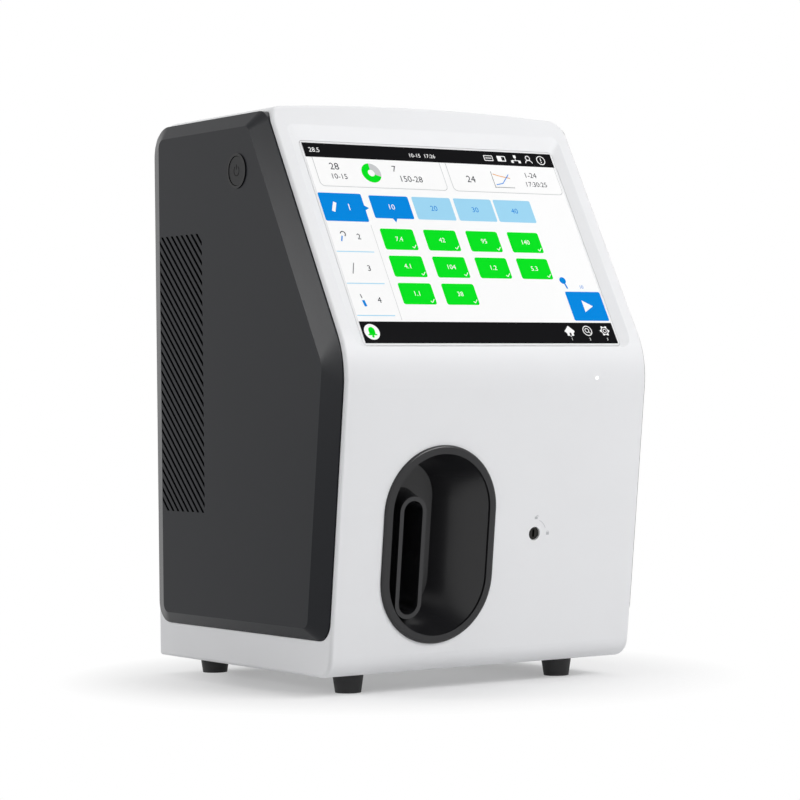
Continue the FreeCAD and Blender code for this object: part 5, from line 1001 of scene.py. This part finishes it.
# Display module and power supply: closed cases of pressed steel, the one glued behind the cover
# glass and held by the bracket, the other screwed to the base plate
MODULE_GREY = (0.50, 0.50, 0.52)
SUPPLY_GREY = (0.55, 0.56, 0.56)
finish(metallic("pressed module frame", MODULE_GREY, roughness=0.4), "display_module")
finish(metallic("supply case", SUPPLY_GREY, roughness=0.45), "power_supply")

# Sensor card and reagent pack: glossy white mouldings that are changed from time to time, the
# card with a row of gold plated pads along its foot
CARD_WHITE = (0.78, 0.79, 0.80)
GOLD_COLOUR = (0.86, 0.64, 0.26)
PAD_COUNT = 12
PAD_WIDTH = 2.4
PAD_FOOT, PAD_TOP = 2.5, 8
PAD_OUT, PAD_SINK, PAD_EDGE = 0.08, 0.1, 0.03
CARD_MARGIN = 5
finish(moulded("card plastic", CARD_WHITE, roughness=0.3, coat=0.2), "sensor_card", "reagent_pack")
gold = metallic("gold plating", GOLD_COLOUR, roughness=0.22)
card_low, card_high = (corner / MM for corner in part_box("sensor_card"))
pad_step = (card_high.x - card_low.x - 2 * CARD_MARGIN) / PAD_COUNT
pads = []
for number in range(PAD_COUNT):
    left = card_low.x + CARD_MARGIN + number * pad_step
    pads.append(block(gold, (left, card_low.y - PAD_OUT, card_low.z + PAD_FOOT),
                      (left + PAD_WIDTH, card_low.y + PAD_SINK, card_low.z + PAD_TOP),
                      edge=PAD_EDGE))
settle(pads, "sensor_card_pads", "housing")

# Label of the reagent pack: blue paper glued on its top, with a white field that is left for
# the date
LABEL_BLUE = (0.10, 0.33, 0.60)
LABEL_WHITE = (0.82, 0.82, 0.81)
LABEL_LEFT, LABEL_RIGHT, LABEL_END = 24, 14, 12
BLANK_BORDER, BLANK_END = 4, 30
LABEL_SINK, LABEL_RISE, BLANK_RISE = 0.05, 0.1, 0.16
LABEL_EDGE = 0.04
label_paper = moulded("label paper", LABEL_BLUE, roughness=0.55)
label_blank = moulded("label blank", LABEL_WHITE, roughness=0.55)
pack_low, pack_high = (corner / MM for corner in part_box("reagent_pack"))
label = [
    block(label_paper,
          (pack_low.x + LABEL_LEFT, pack_low.y + LABEL_END, pack_high.z - LABEL_SINK),
          (pack_high.x - LABEL_RIGHT, pack_high.y - LABEL_END, pack_high.z + LABEL_RISE),
          edge=LABEL_EDGE),
    block(label_blank,
          (pack_low.x + LABEL_LEFT + BLANK_BORDER, pack_low.y + LABEL_END + BLANK_BORDER,
           pack_high.z + LABEL_SINK),
          (pack_high.x - LABEL_RIGHT - BLANK_BORDER, pack_high.y - BLANK_END,
           pack_high.z + BLANK_RISE), edge=LABEL_EDGE),
]
settle(label, "reagent_pack_label", "drawer")

# Pump, valve block, sampler arm and drawer tray: grey mouldings. The pump's rollers and the
# drawer's runners are white acetal, which slides well
MOULDED_GREY = (0.17, 0.178, 0.19)
ACETAL_WHITE = (0.76, 0.76, 0.73)
finish(moulded("grey plastic", MOULDED_GREY, roughness=0.42), "pump_housing", "pump_rotor",
       "valve_block", "sampler_arm", "drawer_tray")
finish(moulded("acetal", ACETAL_WHITE, roughness=0.28), "pump_rollers", "drawer_runners")

# Motors, arm shaft and sample needle: drawn steel, the motors' cases grey plated, the shaft and
# the needle polished
MOTOR_GREY = (0.27, 0.27, 0.29)
STEEL_COLOUR = (0.70, 0.70, 0.71)
finish(metallic("motor case", MOTOR_GREY, roughness=0.4), "arm_motor", "pump_motor")
finish(metallic("polished steel", STEEL_COLOUR, roughness=0.16, streak=0.05), "arm_shaft",
       "sample_needle")

# Loudspeaker: a cone of dark pressed paper with a domed dust cap, glued into the black basket
# on the rear side of the bulkhead
PAPER_DARK = (0.045, 0.043, 0.04)
CONE_RADIUS, CAP_RADIUS, CONE_DEPTH = 14.6, 6.0, 3.2
CONE_SINK = 0.6
CAP_SINK = 3.6
CAP_FLATNESS = 0.35
PAPER_THICKNESS = 0.4 * MM
cone_paper = moulded("cone paper", PAPER_DARK, roughness=0.75, grain=0.0009, relief=0.00006)
speaker_low, speaker_high = (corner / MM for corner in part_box("loudspeaker"))
speaker_middle = (speaker_low + speaker_high) / 2
cone_place = Vector((speaker_middle.x, speaker_high.y - CONE_SINK - CONE_DEPTH / 2,
                     speaker_middle.z)) * MM
cap_place = Vector((speaker_middle.x, speaker_high.y - CAP_SINK, speaker_middle.z)) * MM
bpy.ops.object.select_all(action="DESELECT")
bpy.ops.mesh.primitive_cone_add(vertices=48, radius1=CONE_RADIUS * MM, radius2=CAP_RADIUS * MM,
                                depth=CONE_DEPTH * MM, end_fill_type="NOTHING",
                                location=cone_place, rotation=(math.pi / 2, 0, 0))
cone = inked(bpy.context.object, cone_paper)
wall = cone.modifiers.new("paper", "SOLIDIFY")
wall.thickness = PAPER_THICKNESS
bpy.ops.object.modifier_apply(modifier="paper")
bpy.ops.mesh.primitive_uv_sphere_add(segments=32, ring_count=16, radius=CAP_RADIUS * MM,
                                     location=cap_place)
cap = bpy.context.object
cap.scale = (1, CAP_FLATNESS, 1)
inked(cap, cone_paper)
bpy.ops.object.shade_smooth()
settle([cone, cap], "speaker_cone", "housing")

# Disc on the fan's hub: a plain round piece of foil with a raised ring, glued over the bearing
# and turning with the rotor
FOIL_COLOUR = (0.62, 0.62, 0.63)
HUB_DISC_RADIUS = 10.0
HUB_RING_RADIUS, HUB_RING_WIDTH = 8.2, 0.5
foil = metallic("hub foil", FOIL_COLOUR, roughness=0.3)
fan_low, fan_high = (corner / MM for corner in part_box("fan_rotor"))
fan_middle = (fan_low + fan_high) / 2
disc = [
    prism(foil, 48, 0, 0, HUB_DISC_RADIUS, layer=1),
    ring(foil, 0, 0, HUB_RING_RADIUS, HUB_RING_WIDTH, layer=2),
]
settle(disc, "fan_hub_disc", "fan_rotor", turn=(0, 0, math.pi),
       place=Vector((fan_middle.x, fan_high.y, fan_middle.z)) * MM)
